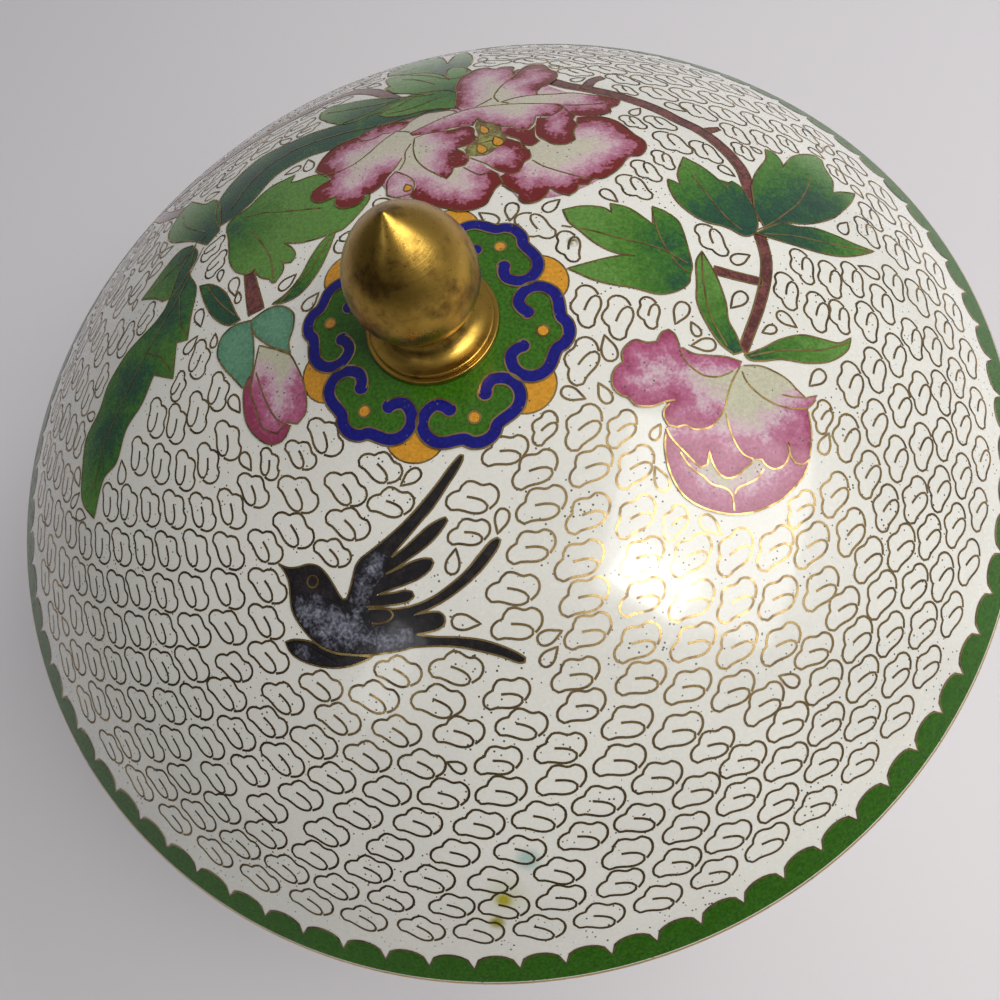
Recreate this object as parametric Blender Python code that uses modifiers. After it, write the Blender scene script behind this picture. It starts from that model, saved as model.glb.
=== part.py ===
"""Lidded bowl of enamelled copper: a bowl on a brass foot ring, and a domed lid with a turned brass finial."""

import math

import bmesh
import bpy

MM = 0.001

# The bowl: an enamelled copper shell that curves in from an upright gilt rim to a rounded floor
RIM_RADIUS = 127.0 * MM
WALL = 2.8 * MM
BOWL_DEPTH = 84.0 * MM
BOWL_FULLNESS = 2.4
BOWL_BAND = 3.0 * MM

# The lip: a thin ring inside the bowl's rim that keeps the lid in place
LIP_REACH = 5.0 * MM
LIP_WALL = 1.6 * MM
LIP_CLEARANCE = 0.8 * MM
LIP_BITE = 1.4 * MM

# The foot ring: cast brass, brazed under the bowl
FOOT_RADIUS = 64.0 * MM
FOOT_WALL = 4.2 * MM
FOOT_TAPER = 2.0 * MM
FOOT_EDGE = 0.8 * MM
FLOOR_CLEARANCE = 8.0 * MM

# The lid: a shallow enamelled dome above an upright gilt band
DOME_RISE = 48.6 * MM
LID_BAND = 6.0 * MM
EDGE_BEVEL = 0.5 * MM

# The finial: one turned brass piece, an acorn bud over a cove and a thin flange
FINIAL_HEIGHT = 34.2 * MM
FLANGE_RADIUS = 13.7 * MM
FLANGE_THICKNESS = 0.9 * MM
BEAD_RADIUS = 12.4 * MM
BEAD_SECTION = 0.45 * MM
NECK_RADIUS = 7.8 * MM
NECK_HEIGHT = 6.2 * MM
BUD_RADIUS = 12.6 * MM
BUD_HEIGHT = 15.8 * MM
BUD_POINT = 2.15
TIP_RADIUS = 0.5 * MM

# Pieces that touch keep this gap
TOUCH_GAP = 0.3 * MM

# Turned pieces have this many sides, and their curves this many steps
SHELL_SIDES = 56
FINIAL_SIDES = 28
BOWL_STEPS = 13
DOME_STEPS = 11
BUD_STEPS = 7
UNDERCUT_STEPS = 4
COVE_STEPS = 5
BEAD_STEPS = 2
SEAT_STEPS = 2
FOOT_EDGE_STEPS = 3
MERGE_DISTANCE = 0.01 * MM
SHARP_ANGLE = 35.0

# Colours and finishes: (colour, roughness, metallic)
WHITE_ENAMEL = ((0.80, 0.80, 0.77), 0.22, 0.0)
FOOT_BRASS = ((0.52, 0.38, 0.16), 0.36, 1.0)
AGED_BRASS = ((0.47, 0.33, 0.12), 0.34, 1.0)

# Heights of the joints above the ground
BOWL_RIM_Z = FLOOR_CLEARANCE + BOWL_DEPTH + BOWL_BAND
LID_RIM_Z = BOWL_RIM_Z + TOUCH_GAP
DOME_Z = LID_RIM_Z + LID_BAND
DOME_TOP_Z = DOME_Z + DOME_RISE


def clear_scene():
    """Removes every object of the scene."""
    for thing in list(bpy.data.objects):
        bpy.data.objects.remove(thing, do_unlink=True)


def new_collection(name):
    """A collection linked to the scene."""
    collection = bpy.data.collections.new(name)
    bpy.context.scene.collection.children.link(collection)
    return collection


def principled(name, color, roughness, metallic):
    """A Principled material of one colour."""
    material = bpy.data.materials.new(name)
    material.use_nodes = True
    shader = material.node_tree.nodes["Principled BSDF"]
    shader.inputs["Base Color"].default_value = (*color, 1.0)
    shader.inputs["Roughness"].default_value = roughness
    shader.inputs["Metallic"].default_value = metallic
    material.diffuse_color = (*color, 1.0)
    return material


def turned(name, profile, sides, collection):
    """A profile of (radius, height) points, listed down the outer side, turned about the Z axis."""
    mesh = bpy.data.meshes.new(name)
    outline = bmesh.new()
    points = [outline.verts.new((radius, 0.0, height)) for radius, height in profile]
    for first, second in zip(points, points[1:]):
        outline.edges.new((first, second))
    outline.to_mesh(mesh)
    outline.free()
    thing = bpy.data.objects.new(name, mesh)
    collection.objects.link(thing)
    screw = thing.modifiers.new("Turn", "SCREW")
    screw.axis = "Z"
    screw.angle = math.tau
    screw.steps = sides
    screw.render_steps = sides
    screw.use_merge_vertices = True
    screw.merge_threshold = MERGE_DISTANCE
    screw.use_smooth_shade = True
    return thing


def give_wall(thing, thickness):
    """Thickens an open turned surface inwards."""
    solidify = thing.modifiers.new("Wall", "SOLIDIFY")
    solidify.thickness = thickness
    solidify.offset = -1.0
    solidify.use_even_offset = True


def bevel_edges(thing, width):
    """Takes the sharp edges off a thickened shell."""
    bevel = thing.modifiers.new("Edges", "BEVEL")
    bevel.width = width
    bevel.segments = 1
    bevel.limit_method = "ANGLE"
    bevel.angle_limit = math.radians(SHARP_ANGLE)


def union(thing, tool):
    """Joins a hidden tool body to a piece."""
    tool.hide_render = True
    tool.display_type = "WIRE"
    boolean = thing.modifiers.new("Join " + tool.name, "BOOLEAN")
    boolean.operation = "UNION"
    boolean.solver = "EXACT"
    boolean.object = tool


def bowl_underside(radius):
    """Height of the outer surface at a radius: a superellipse, flat in the middle and upright at the rim."""
    share = 1.0 - (radius / RIM_RADIUS) ** BOWL_FULLNESS
    return FLOOR_CLEARANCE + BOWL_DEPTH * (1.0 - share ** (1.0 / BOWL_FULLNESS))


def dome_sphere():
    """Radius of the sphere that the lid's dome is cut from: a cap that rises from the lid's rim."""
    return (RIM_RADIUS**2 + DOME_RISE**2) / (2.0 * DOME_RISE)


def dome_surface(radius):
    """Height of the lid's outer surface at a radius."""
    sphere = dome_sphere()
    return DOME_TOP_Z - sphere + math.sqrt(sphere**2 - radius**2)


def dome_inside(radius):
    """Height of the lid's inner surface at a radius, one wall inside the outer sphere."""
    sphere = dome_sphere()
    return DOME_TOP_Z - sphere + math.sqrt((sphere - WALL) ** 2 - radius**2)


def arc(centre, radius, start, end, steps):
    """Points on an arc in the (radius, height) plane, with angles in degrees from the outward side."""
    points = []
    for step in range(steps + 1):
        angle = math.radians(start + (end - start) * step / steps)
        points.append((centre[0] + radius * math.cos(angle), centre[1] + radius * math.sin(angle)))
    return points


def make_bowl(collection, tools):
    """The bowl's shell with the lip joined to its inside."""
    profile = [(RIM_RADIUS, BOWL_RIM_Z)]
    for step in range(BOWL_STEPS):
        turn = 0.5 * math.pi * step / BOWL_STEPS
        radius = RIM_RADIUS * math.cos(turn) ** (2.0 / BOWL_FULLNESS)
        profile.append((radius, bowl_underside(radius)))
    profile.append((0.0, bowl_underside(0.0)))
    bowl = turned("bowl", profile, SHELL_SIDES, collection)
    give_wall(bowl, WALL)

    outer = RIM_RADIUS - WALL - LIP_CLEARANCE
    inner = outer - LIP_WALL
    root = RIM_RADIUS - WALL + LIP_BITE
    low = BOWL_RIM_Z - LIP_REACH
    high = dome_inside(RIM_RADIUS - WALL) - LIP_CLEARANCE
    shoulder = BOWL_RIM_Z - TOUCH_GAP
    lip_profile = [
        (inner, high),
        (outer, high),
        (outer, shoulder),
        (root, shoulder),
        (root, low + LIP_WALL),
        (inner, low),
        (inner, high),
    ]
    lip = turned("bowl_lip", lip_profile, SHELL_SIDES, tools)
    union(bowl, lip)
    bowl.data.materials.append(principled("white_enamel_bowl", *WHITE_ENAMEL))
    return bowl


def make_foot_ring(collection):
    """The foot ring, whose top follows the bowl's underside."""
    outer_low = FOOT_RADIUS
    outer_high = FOOT_RADIUS - FOOT_TAPER
    inner = FOOT_RADIUS - FOOT_TAPER - FOOT_WALL
    middle = 0.5 * (inner + outer_high)
    profile = [
        (inner, bowl_underside(inner) - TOUCH_GAP),
        (middle, bowl_underside(middle) - TOUCH_GAP),
        (outer_high, bowl_underside(outer_high) - TOUCH_GAP),
        (outer_high, 0.5 * bowl_underside(outer_high)),
    ]
    profile += arc((outer_low - FOOT_EDGE, FOOT_EDGE), FOOT_EDGE, 30.0, -90.0, FOOT_EDGE_STEPS)
    profile += [
        (inner + FOOT_EDGE, 0.0),
        (inner, FOOT_EDGE),
        (inner, bowl_underside(inner) - TOUCH_GAP),
    ]
    ring = turned("foot_ring", profile, SHELL_SIDES, collection)
    ring.data.materials.append(principled("foot_brass", *FOOT_BRASS))
    return ring


def make_lid(collection):
    """The lid's shell: the dome and the upright band, with small bevels on its edges."""
    profile = []
    for step in range(DOME_STEPS + 1):
        radius = RIM_RADIUS * step / DOME_STEPS
        profile.append((radius, dome_surface(radius)))
    profile.append((RIM_RADIUS, LID_RIM_Z))
    lid = turned("lid", profile, SHELL_SIDES, collection)
    give_wall(lid, WALL)
    bevel_edges(lid, EDGE_BEVEL)
    lid.data.materials.append(principled("white_enamel_lid", *WHITE_ENAMEL))
    return lid


def finial_profile():
    """The outline, from the tip down the bud, the cove, the bead and the flange to the seat on the dome."""
    points = [(0.0, DOME_TOP_Z + FINIAL_HEIGHT)]
    rise = FINIAL_HEIGHT - BUD_HEIGHT
    tip_share = (1.0 - TIP_RADIUS / BUD_RADIUS) ** (1.0 / BUD_POINT)
    for step in range(BUD_STEPS + 1):
        share = tip_share * (1.0 - step / BUD_STEPS)
        points.append((BUD_RADIUS * (1.0 - share**BUD_POINT), DOME_TOP_Z + BUD_HEIGHT + rise * share))
    for step in range(1, UNDERCUT_STEPS + 1):
        share = step / UNDERCUT_STEPS
        radius = BUD_RADIUS - (BUD_RADIUS - NECK_RADIUS) * share**2
        points.append((radius, DOME_TOP_Z + BUD_HEIGHT - (BUD_HEIGHT - NECK_HEIGHT) * share))
    bead_middle = DOME_TOP_Z + FLANGE_THICKNESS + BEAD_SECTION
    cove_rise = NECK_HEIGHT - FLANGE_THICKNESS - 2.0 * BEAD_SECTION
    for step in range(1, COVE_STEPS + 1):
        turn = 0.5 * math.pi * step / COVE_STEPS
        radius = BEAD_RADIUS - (BEAD_RADIUS - NECK_RADIUS) * math.cos(turn)
        points.append((radius, DOME_TOP_Z + NECK_HEIGHT - cove_rise * math.sin(turn)))
    points += arc((BEAD_RADIUS, bead_middle), BEAD_SECTION, 40.0, -50.0, BEAD_STEPS)
    points += [
        (FLANGE_RADIUS - 0.5 * FLANGE_THICKNESS, DOME_TOP_Z + FLANGE_THICKNESS),
        (FLANGE_RADIUS, DOME_TOP_Z + 0.4 * FLANGE_THICKNESS),
        (FLANGE_RADIUS, dome_surface(FLANGE_RADIUS) + TOUCH_GAP),
    ]
    for step in range(1, SEAT_STEPS + 1):
        radius = FLANGE_RADIUS * (1.0 - step / SEAT_STEPS)
        points.append((radius, dome_surface(radius) + TOUCH_GAP))
    return points


def make_finial(collection):
    """The turned brass finial that stands on the middle of the lid."""
    finial = turned("finial", finial_profile(), FINIAL_SIDES, collection)
    finial.data.materials.append(principled("aged_brass", *AGED_BRASS))
    return finial


def main():
    clear_scene()
    collection = new_collection("cloisonne_lidded_bowl")
    tools = new_collection("joining_tools")
    make_bowl(collection, tools)
    make_foot_ring(collection)
    make_lid(collection)
    make_finial(collection)


main()
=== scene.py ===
import math
import random

import bmesh
import bpy
import numpy
from mathutils import Matrix, Vector


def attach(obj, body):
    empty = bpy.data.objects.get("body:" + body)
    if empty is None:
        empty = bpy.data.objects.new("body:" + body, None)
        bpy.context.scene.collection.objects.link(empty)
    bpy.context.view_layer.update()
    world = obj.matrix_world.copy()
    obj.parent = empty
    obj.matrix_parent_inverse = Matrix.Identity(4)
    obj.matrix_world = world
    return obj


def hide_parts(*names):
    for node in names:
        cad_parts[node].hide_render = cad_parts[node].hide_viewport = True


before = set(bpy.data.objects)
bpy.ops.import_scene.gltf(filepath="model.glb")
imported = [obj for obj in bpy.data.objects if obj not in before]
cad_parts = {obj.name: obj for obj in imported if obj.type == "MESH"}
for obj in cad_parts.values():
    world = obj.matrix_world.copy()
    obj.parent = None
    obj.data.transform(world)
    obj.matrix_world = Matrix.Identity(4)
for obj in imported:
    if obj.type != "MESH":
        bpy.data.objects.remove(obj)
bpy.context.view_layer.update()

# Foot ring
# A cast brass ring, turned and brazed under the bowl. It is worn to a satin, with browner metal left in
# patches and streaks. The shells and the finial are turned by the same function.
MM = 0.001
FOOT_RADIUS, FOOT_WALL, FOOT_TAPER, FOOT_EDGE = 64.0, 4.2, 2.0, 0.8
FOOT_FLARE = ((0.0, 8.4), (0.25, 6.6), (0.8, 3.6))  # how far out it has spread, and at what height
FOOT_SIDES = 160
RIM_RADIUS, BOWL_DEPTH, BOWL_FULLNESS, FLOOR_CLEARANCE = 127.0, 84.0, 2.4, 8.0
TOUCH_GAP = 0.3
SHARP_TURN = 38.0


def new_object(name, build, finishes):
    """A mesh object made from a bmesh, with its finishes, in the scene."""
    mesh = bpy.data.meshes.new(name)
    build.to_mesh(mesh)
    build.free()
    for finish in finishes:
        mesh.materials.append(finish)
    thing = bpy.data.objects.new(name, mesh)
    bpy.context.scene.collection.objects.link(thing)
    return thing


def turned(name, profile, sides, finishes, finish_of=None):
    """A closed outline of (radius, height) points in millimetres, turned about the upright axis."""
    build = bmesh.new()
    points = [build.verts.new((radius * MM, 0.0, height * MM)) for radius, height in profile]
    for first, second in zip(points, points[1:]):
        build.edges.new((first, second))
    bmesh.ops.spin(
        build,
        geom=build.verts[:] + build.edges[:],
        cent=(0.0, 0.0, 0.0),
        axis=(0.0, 0.0, 1.0),
        angle=math.tau,
        steps=sides,
        use_merge=True,
    )
    bmesh.ops.remove_doubles(build, verts=build.verts[:], dist=0.002 * MM)
    bmesh.ops.recalc_face_normals(build, faces=build.faces[:])
    for face in build.faces:
        face.smooth = True
        if finish_of:
            middle = face.calc_center_median()
            face.material_index = finish_of(middle.xy.length / MM, middle.z / MM, face.normal)
    thing = new_object(name, build, finishes)
    thing.data.set_sharp_from_angle(angle=math.radians(SHARP_TURN))
    return thing


def add_node(tree, kind, values=(), **settings):
    """A shader node with its settings and the default values of its inputs."""
    node = tree.nodes.new(kind)
    for key, value in settings.items():
        setattr(node, key, value)
    for key, value in dict(values).items():
        node.inputs[key].default_value = value
    return node


def feed(tree, socket, value):
    """Gives an input what it takes: another socket, a number or a colour."""
    if isinstance(value, bpy.types.NodeSocket):
        tree.links.new(value, socket)
    else:
        socket.default_value = value if isinstance(value, float) else (*value, 1.0)


def mix_colour(tree, factor, first, second):
    """A mix of two colours by a factor."""
    node = tree.nodes.new("ShaderNodeMix")
    node.data_type = "RGBA"
    for socket, value in ((0, factor), (6, first), (7, second)):
        feed(tree, node.inputs[socket], value)
    return node.outputs[2]


def reach(tree, value, low, high, to_low=0.0, to_high=1.0):
    """A number brought from one range to another, with a soft start and end."""
    node = add_node(tree, "ShaderNodeMapRange", interpolation_type="SMOOTHSTEP")
    for socket, number in zip(("From Min", "From Max", "To Min", "To Max"), (low, high, to_low, to_high)):
        node.inputs[socket].default_value = number
    tree.links.new(value, node.inputs["Value"])
    return node.outputs["Result"]


def noise(tree, place, scale, detail=2.0, rough=0.5):
    """Noise whose grain is one metre divided by the scale."""
    node = add_node(tree, "ShaderNodeTexNoise", {"Scale": scale, "Detail": detail, "Roughness": rough})
    tree.links.new(place, node.inputs["Vector"])
    return node.outputs["Fac"]


def new_material(name, roughness, metallic=0.0, coat=0.0):
    """A Principled material, with its node tree, its shader and the object's own coordinates."""
    material = bpy.data.materials.new(name)
    material.use_nodes = True
    tree = material.node_tree
    shader = tree.nodes["Principled BSDF"]
    shader.inputs["Roughness"].default_value = roughness
    shader.inputs["Metallic"].default_value = metallic
    shader.inputs["Coat Weight"].default_value = coat
    shader.inputs["Coat Roughness"].default_value = 0.06
    place = tree.nodes.new("ShaderNodeTexCoord").outputs["Object"]
    return material, tree, shader, place


def turned_brass(name, bright, dark, roughness, patina, lines=0.00004):
    """Brass with fine turning lines, brown patina in patches and streaks, and uneven polish."""
    material, tree, shader, place = new_material(name, roughness, metallic=1.0)
    squash = add_node(tree, "ShaderNodeMapping", {"Scale": (0.25, 0.25, 6.0)})
    tree.links.new(place, squash.inputs["Vector"])
    streak = noise(tree, squash.outputs["Vector"], 160.0, 5.0, 0.62)
    upright = add_node(tree, "ShaderNodeMapping", {"Scale": (1.0, 1.0, 0.22)})
    tree.links.new(place, upright.inputs["Vector"])
    drip = noise(tree, upright.outputs["Vector"], 210.0, 4.0, 0.6)
    cloud = noise(tree, place, 90.0, 5.0, 0.65)
    speck = noise(tree, place, 1400.0, 2.0, 0.6)
    colour = mix_colour(tree, reach(tree, cloud, 0.62 - patina, 0.78 - patina * 0.6), bright, dark)
    colour = mix_colour(tree, reach(tree, drip, 0.56, 0.72, 0.0, 0.75), colour, dark)
    colour = mix_colour(tree, reach(tree, streak, 0.58, 0.75, 0.0, 0.45), colour, dark)
    colour = mix_colour(tree, reach(tree, speck, 0.66, 0.74, 0.0, 0.7), colour, (0.10, 0.06, 0.02))
    tree.links.new(colour, shader.inputs["Base Color"])
    polish = reach(tree, cloud, 0.3, 0.75, roughness * 0.8, roughness * 1.5)
    tree.links.new(polish, shader.inputs["Roughness"])
    bump = add_node(tree, "ShaderNodeBump", {"Strength": 0.5, "Distance": lines})
    tree.links.new(noise(tree, squash.outputs["Vector"], 900.0, 3.0), bump.inputs["Height"])
    tree.links.new(bump.outputs["Normal"], shader.inputs["Normal"])
    return material


def bowl_underside(radius):
    """Height of the bowl's outer surface at a radius, both in millimetres."""
    share = 1.0 - (radius / RIM_RADIUS) ** BOWL_FULLNESS
    return FLOOR_CLEARANCE + BOWL_DEPTH * (1.0 - max(share, 0.0) ** (1.0 / BOWL_FULLNESS))


def rounded(corner, radius, start, steps=4, turn=90.0):
    """Points round a corner, as (radius, height), from one angle through a turn in degrees."""
    points = []
    for step in range(steps + 1):
        angle = math.radians(start + turn * step / steps)
        points.append((corner[0] + radius * math.cos(angle), corner[1] + radius * math.sin(angle)))
    return points


foot_brass = turned_brass("foot_brass", (0.56, 0.41, 0.18), (0.20, 0.13, 0.05), 0.34, 0.06)
foot_high = FOOT_RADIUS - FOOT_TAPER
foot_inner = foot_high - FOOT_WALL
foot_profile = [(radius, bowl_underside(radius) - TOUCH_GAP) for radius in (foot_inner, foot_high)]
foot_profile += [(foot_high + out, height) for out, height in FOOT_FLARE]
foot_profile += rounded((FOOT_RADIUS - FOOT_EDGE, FOOT_EDGE), FOOT_EDGE, 25.0, 5, -115.0)
foot_profile += rounded((foot_inner + FOOT_EDGE, FOOT_EDGE), FOOT_EDGE, -90.0, 4, -90.0)
foot_profile += [foot_profile[0]]
foot = turned("foot_ring_turned", foot_profile, FOOT_SIDES, [foot_brass])
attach(foot, "root")
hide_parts("foot_ring")

# Bowl
# A spun copper shell, coated with white enamel outside and turquoise enamel inside. Its rim is a gilt
# band, and a thin gilt lip is brazed inside the rim to hold the lid in place.
WALL, BOWL_BAND, RIM_EDGE = 2.8, 3.0, 0.4
LIP_REACH, LIP_WALL, LIP_CLEARANCE, LIP_EDGE, LIP_BITE = 5.0, 1.6, 0.8, 0.3, 1.0
BOWL_STEPS, BOWL_SIDES = 60, 192
ENAMEL_ROUGHNESS = 0.22
BOWL_RIM_Z = FLOOR_CLEARANCE + BOWL_DEPTH + BOWL_BAND
LID_RIM_Z = BOWL_RIM_Z + TOUCH_GAP
LID_BAND, DOME_RISE = 6.0, 48.6
DOME_Z = LID_RIM_Z + LID_BAND
DOME_TOP_Z = DOME_Z + DOME_RISE
SPHERE = (RIM_RADIUS**2 + DOME_RISE**2) / (2.0 * DOME_RISE)
SPHERE_Z = DOME_TOP_Z - SPHERE


def calculated(tree, operation, first, second):
    """A sum, product or comparison of two inputs."""
    node = add_node(tree, "ShaderNodeMath", operation=operation)
    feed(tree, node.inputs[0], first)
    feed(tree, node.inputs[1], second)
    return node.outputs[0]


def enamel(name, stops, spread=1.6, pits=0.9, grain=0.10, gloss=0.55, stains=()):
    """Ground-glass enamel. Its colour follows the depth attribute, in millimetres from a cell's edge: stops
    are (depth, colour), and a single stop is a plain colour. The grains make the change of colour ragged by
    the spread. Pits are tiny dark pinholes. A stain is (middle in metres, size in metres, colour)."""
    material, tree, shader, place = new_material(name, ENAMEL_ROUGHNESS, coat=gloss)
    shader.inputs["Specular IOR Level"].default_value = min(gloss, 0.5)
    fine = noise(tree, place, 1500.0, 1.0, 0.6)
    middling = noise(tree, place, 420.0, 2.0, 0.6)
    broad = noise(tree, place, 38.0, 1.0, 0.55)
    if len(stops) > 1:
        depth = add_node(tree, "ShaderNodeAttribute", attribute_name="depth").outputs["Fac"]
        small_shift = reach(tree, fine, 0.25, 0.75, -0.5 * spread, 0.5 * spread)
        large_shift = reach(tree, middling, 0.25, 0.75, -spread, spread)
        ragged = calculated(tree, "ADD", calculated(tree, "ADD", small_shift, large_shift), depth)
        far = stops[-1][0] + 1.0
        ramp = tree.nodes.new("ShaderNodeValToRGB")
        tree.links.new(calculated(tree, "DIVIDE", ragged, far), ramp.inputs["Fac"])
        elements = ramp.color_ramp.elements
        for number, (where, colour) in enumerate(stops):
            element = elements[number] if number < len(elements) else elements.new(where / far)
            element.position = where / far
            element.color = (*colour, 1.0)
        base = ramp.outputs["Color"]
    else:
        plain = tree.nodes.new("ShaderNodeRGB")
        plain.outputs["Color"].default_value = (*stops[0][1], 1.0)
        base = plain.outputs["Color"]
    tint = tree.nodes.new("ShaderNodeHueSaturation")
    grains = reach(tree, fine, 0.2, 0.8, 1.0 - grain, 1.0 + grain)
    clouds = reach(tree, broad, 0.3, 0.7, 0.955, 1.02)
    tree.links.new(calculated(tree, "MULTIPLY", grains, clouds), tint.inputs["Value"])
    tree.links.new(base, tint.inputs["Color"])
    colour = tint.outputs["Color"]
    for middle, size, stain in stains:
        away = add_node(tree, "ShaderNodeVectorMath", {1: middle}, operation="DISTANCE")
        tree.links.new(place, away.inputs[0])
        faded = reach(tree, away.outputs["Value"], size, size * 0.2)
        spot = calculated(tree, "MULTIPLY", faded, reach(tree, middling, 0.22, 0.45))
        colour = mix_colour(tree, spot, colour, stain)
    holes = add_node(tree, "ShaderNodeTexVoronoi", {"Scale": 880.0}, feature="F1")
    tree.links.new(place, holes.inputs["Vector"])
    size_here = reach(tree, noise(tree, place, 70.0, 2.0), 0.3, 0.65, 0.06, 0.07 + 0.13 * pits)
    pit = calculated(tree, "LESS_THAN", holes.outputs["Distance"], size_here)
    chance = calculated(tree, "LESS_THAN", holes.outputs["Color"], 0.55 * pits)
    colour = mix_colour(tree, calculated(tree, "MULTIPLY", pit, chance), colour, (0.09, 0.08, 0.07))
    tree.links.new(colour, shader.inputs["Base Color"])
    polish = reach(tree, middling, 0.3, 0.8, ENAMEL_ROUGHNESS * 0.85, ENAMEL_ROUGHNESS * 1.5)
    tree.links.new(polish, shader.inputs["Roughness"])
    bump = add_node(tree, "ShaderNodeBump", {"Strength": 0.30, "Distance": 0.00012})
    tree.links.new(noise(tree, place, 130.0, 1.0), bump.inputs["Height"])
    tree.links.new(bump.outputs["Normal"], shader.inputs["Normal"])
    return material


def offset_inside(points, distance):
    """The outline moved to its left by a distance, for the inner side of a wall."""
    moved = []
    for number, (radius, height) in enumerate(points):
        before = points[max(number - 1, 0)]
        after = points[min(number + 1, len(points) - 1)]
        run, rise = after[0] - before[0], after[1] - before[1]
        size = math.hypot(run, rise)
        moved.append((max(radius - distance * rise / size, 0.0), height + distance * run / size))
    return moved


white = (0.80, 0.795, 0.735)
bowl_white = enamel("bowl_white_enamel", [(0.0, white)], pits=0.8, grain=0.03)
counter_enamel = enamel("turquoise_counter_enamel", [(0.0, (0.035, 0.22, 0.30))], pits=1.0, grain=0.22)
gilt = turned_brass("gilt_copper", (0.62, 0.43, 0.17), (0.26, 0.15, 0.05), 0.30, 0.02)

outer_wall = []
for step in range(BOWL_STEPS + 1):
    turn = 0.5 * math.pi * (1.0 - step / BOWL_STEPS)
    radius = RIM_RADIUS * math.cos(turn) ** (2.0 / BOWL_FULLNESS) if step else 0.0
    outer_wall.append((radius, bowl_underside(radius)))
lip_outer = RIM_RADIUS - WALL - LIP_CLEARANCE
lip_inner = lip_outer - LIP_WALL
lip_low = BOWL_RIM_Z - LIP_REACH
inner_wall = [point for point in offset_inside(outer_wall, WALL) if point[1] < lip_low - LIP_BITE]
lip_high = SPHERE_Z + math.sqrt((SPHERE - WALL) ** 2 - (RIM_RADIUS - WALL) ** 2) - LIP_CLEARANCE
bowl_profile = outer_wall + rounded((RIM_RADIUS - RIM_EDGE, BOWL_RIM_Z - RIM_EDGE), RIM_EDGE, 0.0)
bowl_profile += [(RIM_RADIUS - WALL, BOWL_RIM_Z), (RIM_RADIUS - WALL, BOWL_RIM_Z - TOUCH_GAP)]
bowl_profile += [(lip_outer, BOWL_RIM_Z - TOUCH_GAP)]
bowl_profile += rounded((lip_outer - LIP_EDGE, lip_high - LIP_EDGE), LIP_EDGE, 0.0, 3)
bowl_profile += rounded((lip_inner + LIP_EDGE, lip_high - LIP_EDGE), LIP_EDGE, 90.0, 3)
bowl_profile += [(lip_inner, lip_low)] + inner_wall[::-1]


def bowl_finish(radius, height, normal):
    """White outside, turquoise inside, gilt on the rim band and the lip."""
    on_band = height > BOWL_RIM_Z - BOWL_BAND + 0.2
    on_lip = height > lip_low - LIP_BITE and radius < lip_outer
    if on_band or on_lip:
        return 2
    return 0 if bowl_underside(min(radius, RIM_RADIUS)) > height - 0.5 * WALL else 1


bowl = turned("bowl_shell", bowl_profile, BOWL_SIDES, [bowl_white, counter_enamel, gilt], bowl_finish)
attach(bowl, "root")
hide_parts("bowl")

# Lid
# A shallow copper dome with white enamel outside, turquoise enamel inside and a gilt upright band. The
# enamel has small pinholes, an olive dot by the collar, and olive and blue-green stains near the rim.
GILT_FROM = 126.35
LID_EDGE, LID_INNER_EDGE = 0.5, 0.3
LID_STEPS, LID_INSIDE_STEPS, LID_SIDES = 48, 36, 256


def lid_surface(x, y):
    """The point and the outward direction on the lid's dome at a place of its plan, in millimetres."""
    direction = Vector((x, y, math.sqrt(max(SPHERE**2 - x * x - y * y, 0.0)))) / SPHERE
    return (Vector((0.0, 0.0, SPHERE_Z)) + direction * SPHERE) * MM, direction


# A stain is (place on the lid, size in metres, colour)
lid_stains = [
    (lid_surface(-32.5, -103.5)[0], 0.0056, (0.68, 0.68, 0.54)),
    (lid_surface(-25.5, -99.0)[0], 0.0034, (0.42, 0.57, 0.54)),
    (lid_surface(-33.5, -104.1)[0], 0.0025, (0.42, 0.37, 0.02)),
    (lid_surface(-36.9, -107.5)[0], 0.0024, (0.34, 0.30, 0.02)),
    (lid_surface(33.4, 6.2)[0], 0.0017, (0.13, 0.12, 0.02)),
    (lid_surface(-42.0, 96.0)[0], 0.0035, (0.60, 0.56, 0.40)),
]
lid_white = enamel("lid_white_enamel", [(0.0, white)], pits=1.0, grain=0.03, stains=lid_stains)
lid_profile = []
for step in range(LID_STEPS + 1):
    radius = (RIM_RADIUS - 0.9 * LID_EDGE) * step / LID_STEPS
    lid_profile.append((radius, SPHERE_Z + math.sqrt(SPHERE**2 - radius**2)))
lid_profile += rounded((RIM_RADIUS - LID_EDGE, DOME_Z - 0.5 * LID_EDGE), LID_EDGE, 45.0, 3, -45.0)
lid_profile += rounded((RIM_RADIUS - LID_EDGE, LID_RIM_Z + LID_EDGE), LID_EDGE, 0.0, 3, -90.0)
inside_radius = RIM_RADIUS - WALL
lid_profile += [(inside_radius + LID_INNER_EDGE, LID_RIM_Z), (inside_radius, LID_RIM_Z + LID_INNER_EDGE)]
for step in range(LID_INSIDE_STEPS + 1):
    radius = inside_radius * (1.0 - step / LID_INSIDE_STEPS)
    lid_profile.append((radius, SPHERE_Z + math.sqrt((SPHERE - WALL) ** 2 - radius**2)))


def lid_finish(radius, height, normal):
    """White outside, turquoise inside, gilt on the rim."""
    if radius > GILT_FROM or height < DOME_Z - 3.0:
        return 2
    return 0 if normal.z > 0.0 else 1


lid = turned("lid_shell", lid_profile, LID_SIDES, [lid_white, counter_enamel, gilt], lid_finish)
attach(lid, "root")
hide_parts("lid")

# Border of the lid
# A band of deep green enamel round the rim. Its inner edge is a row of small round scallops, each
# outlined by a flat brass wire that is soldered to the copper, then ground flush with the enamel.
SCALLOPS = 82
SCALLOP_CUSP, SCALLOP_PEAK = 123.5, 120.7
BORDER_WIRE, WIRE_LIFT = 0.50, 0.10


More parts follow.
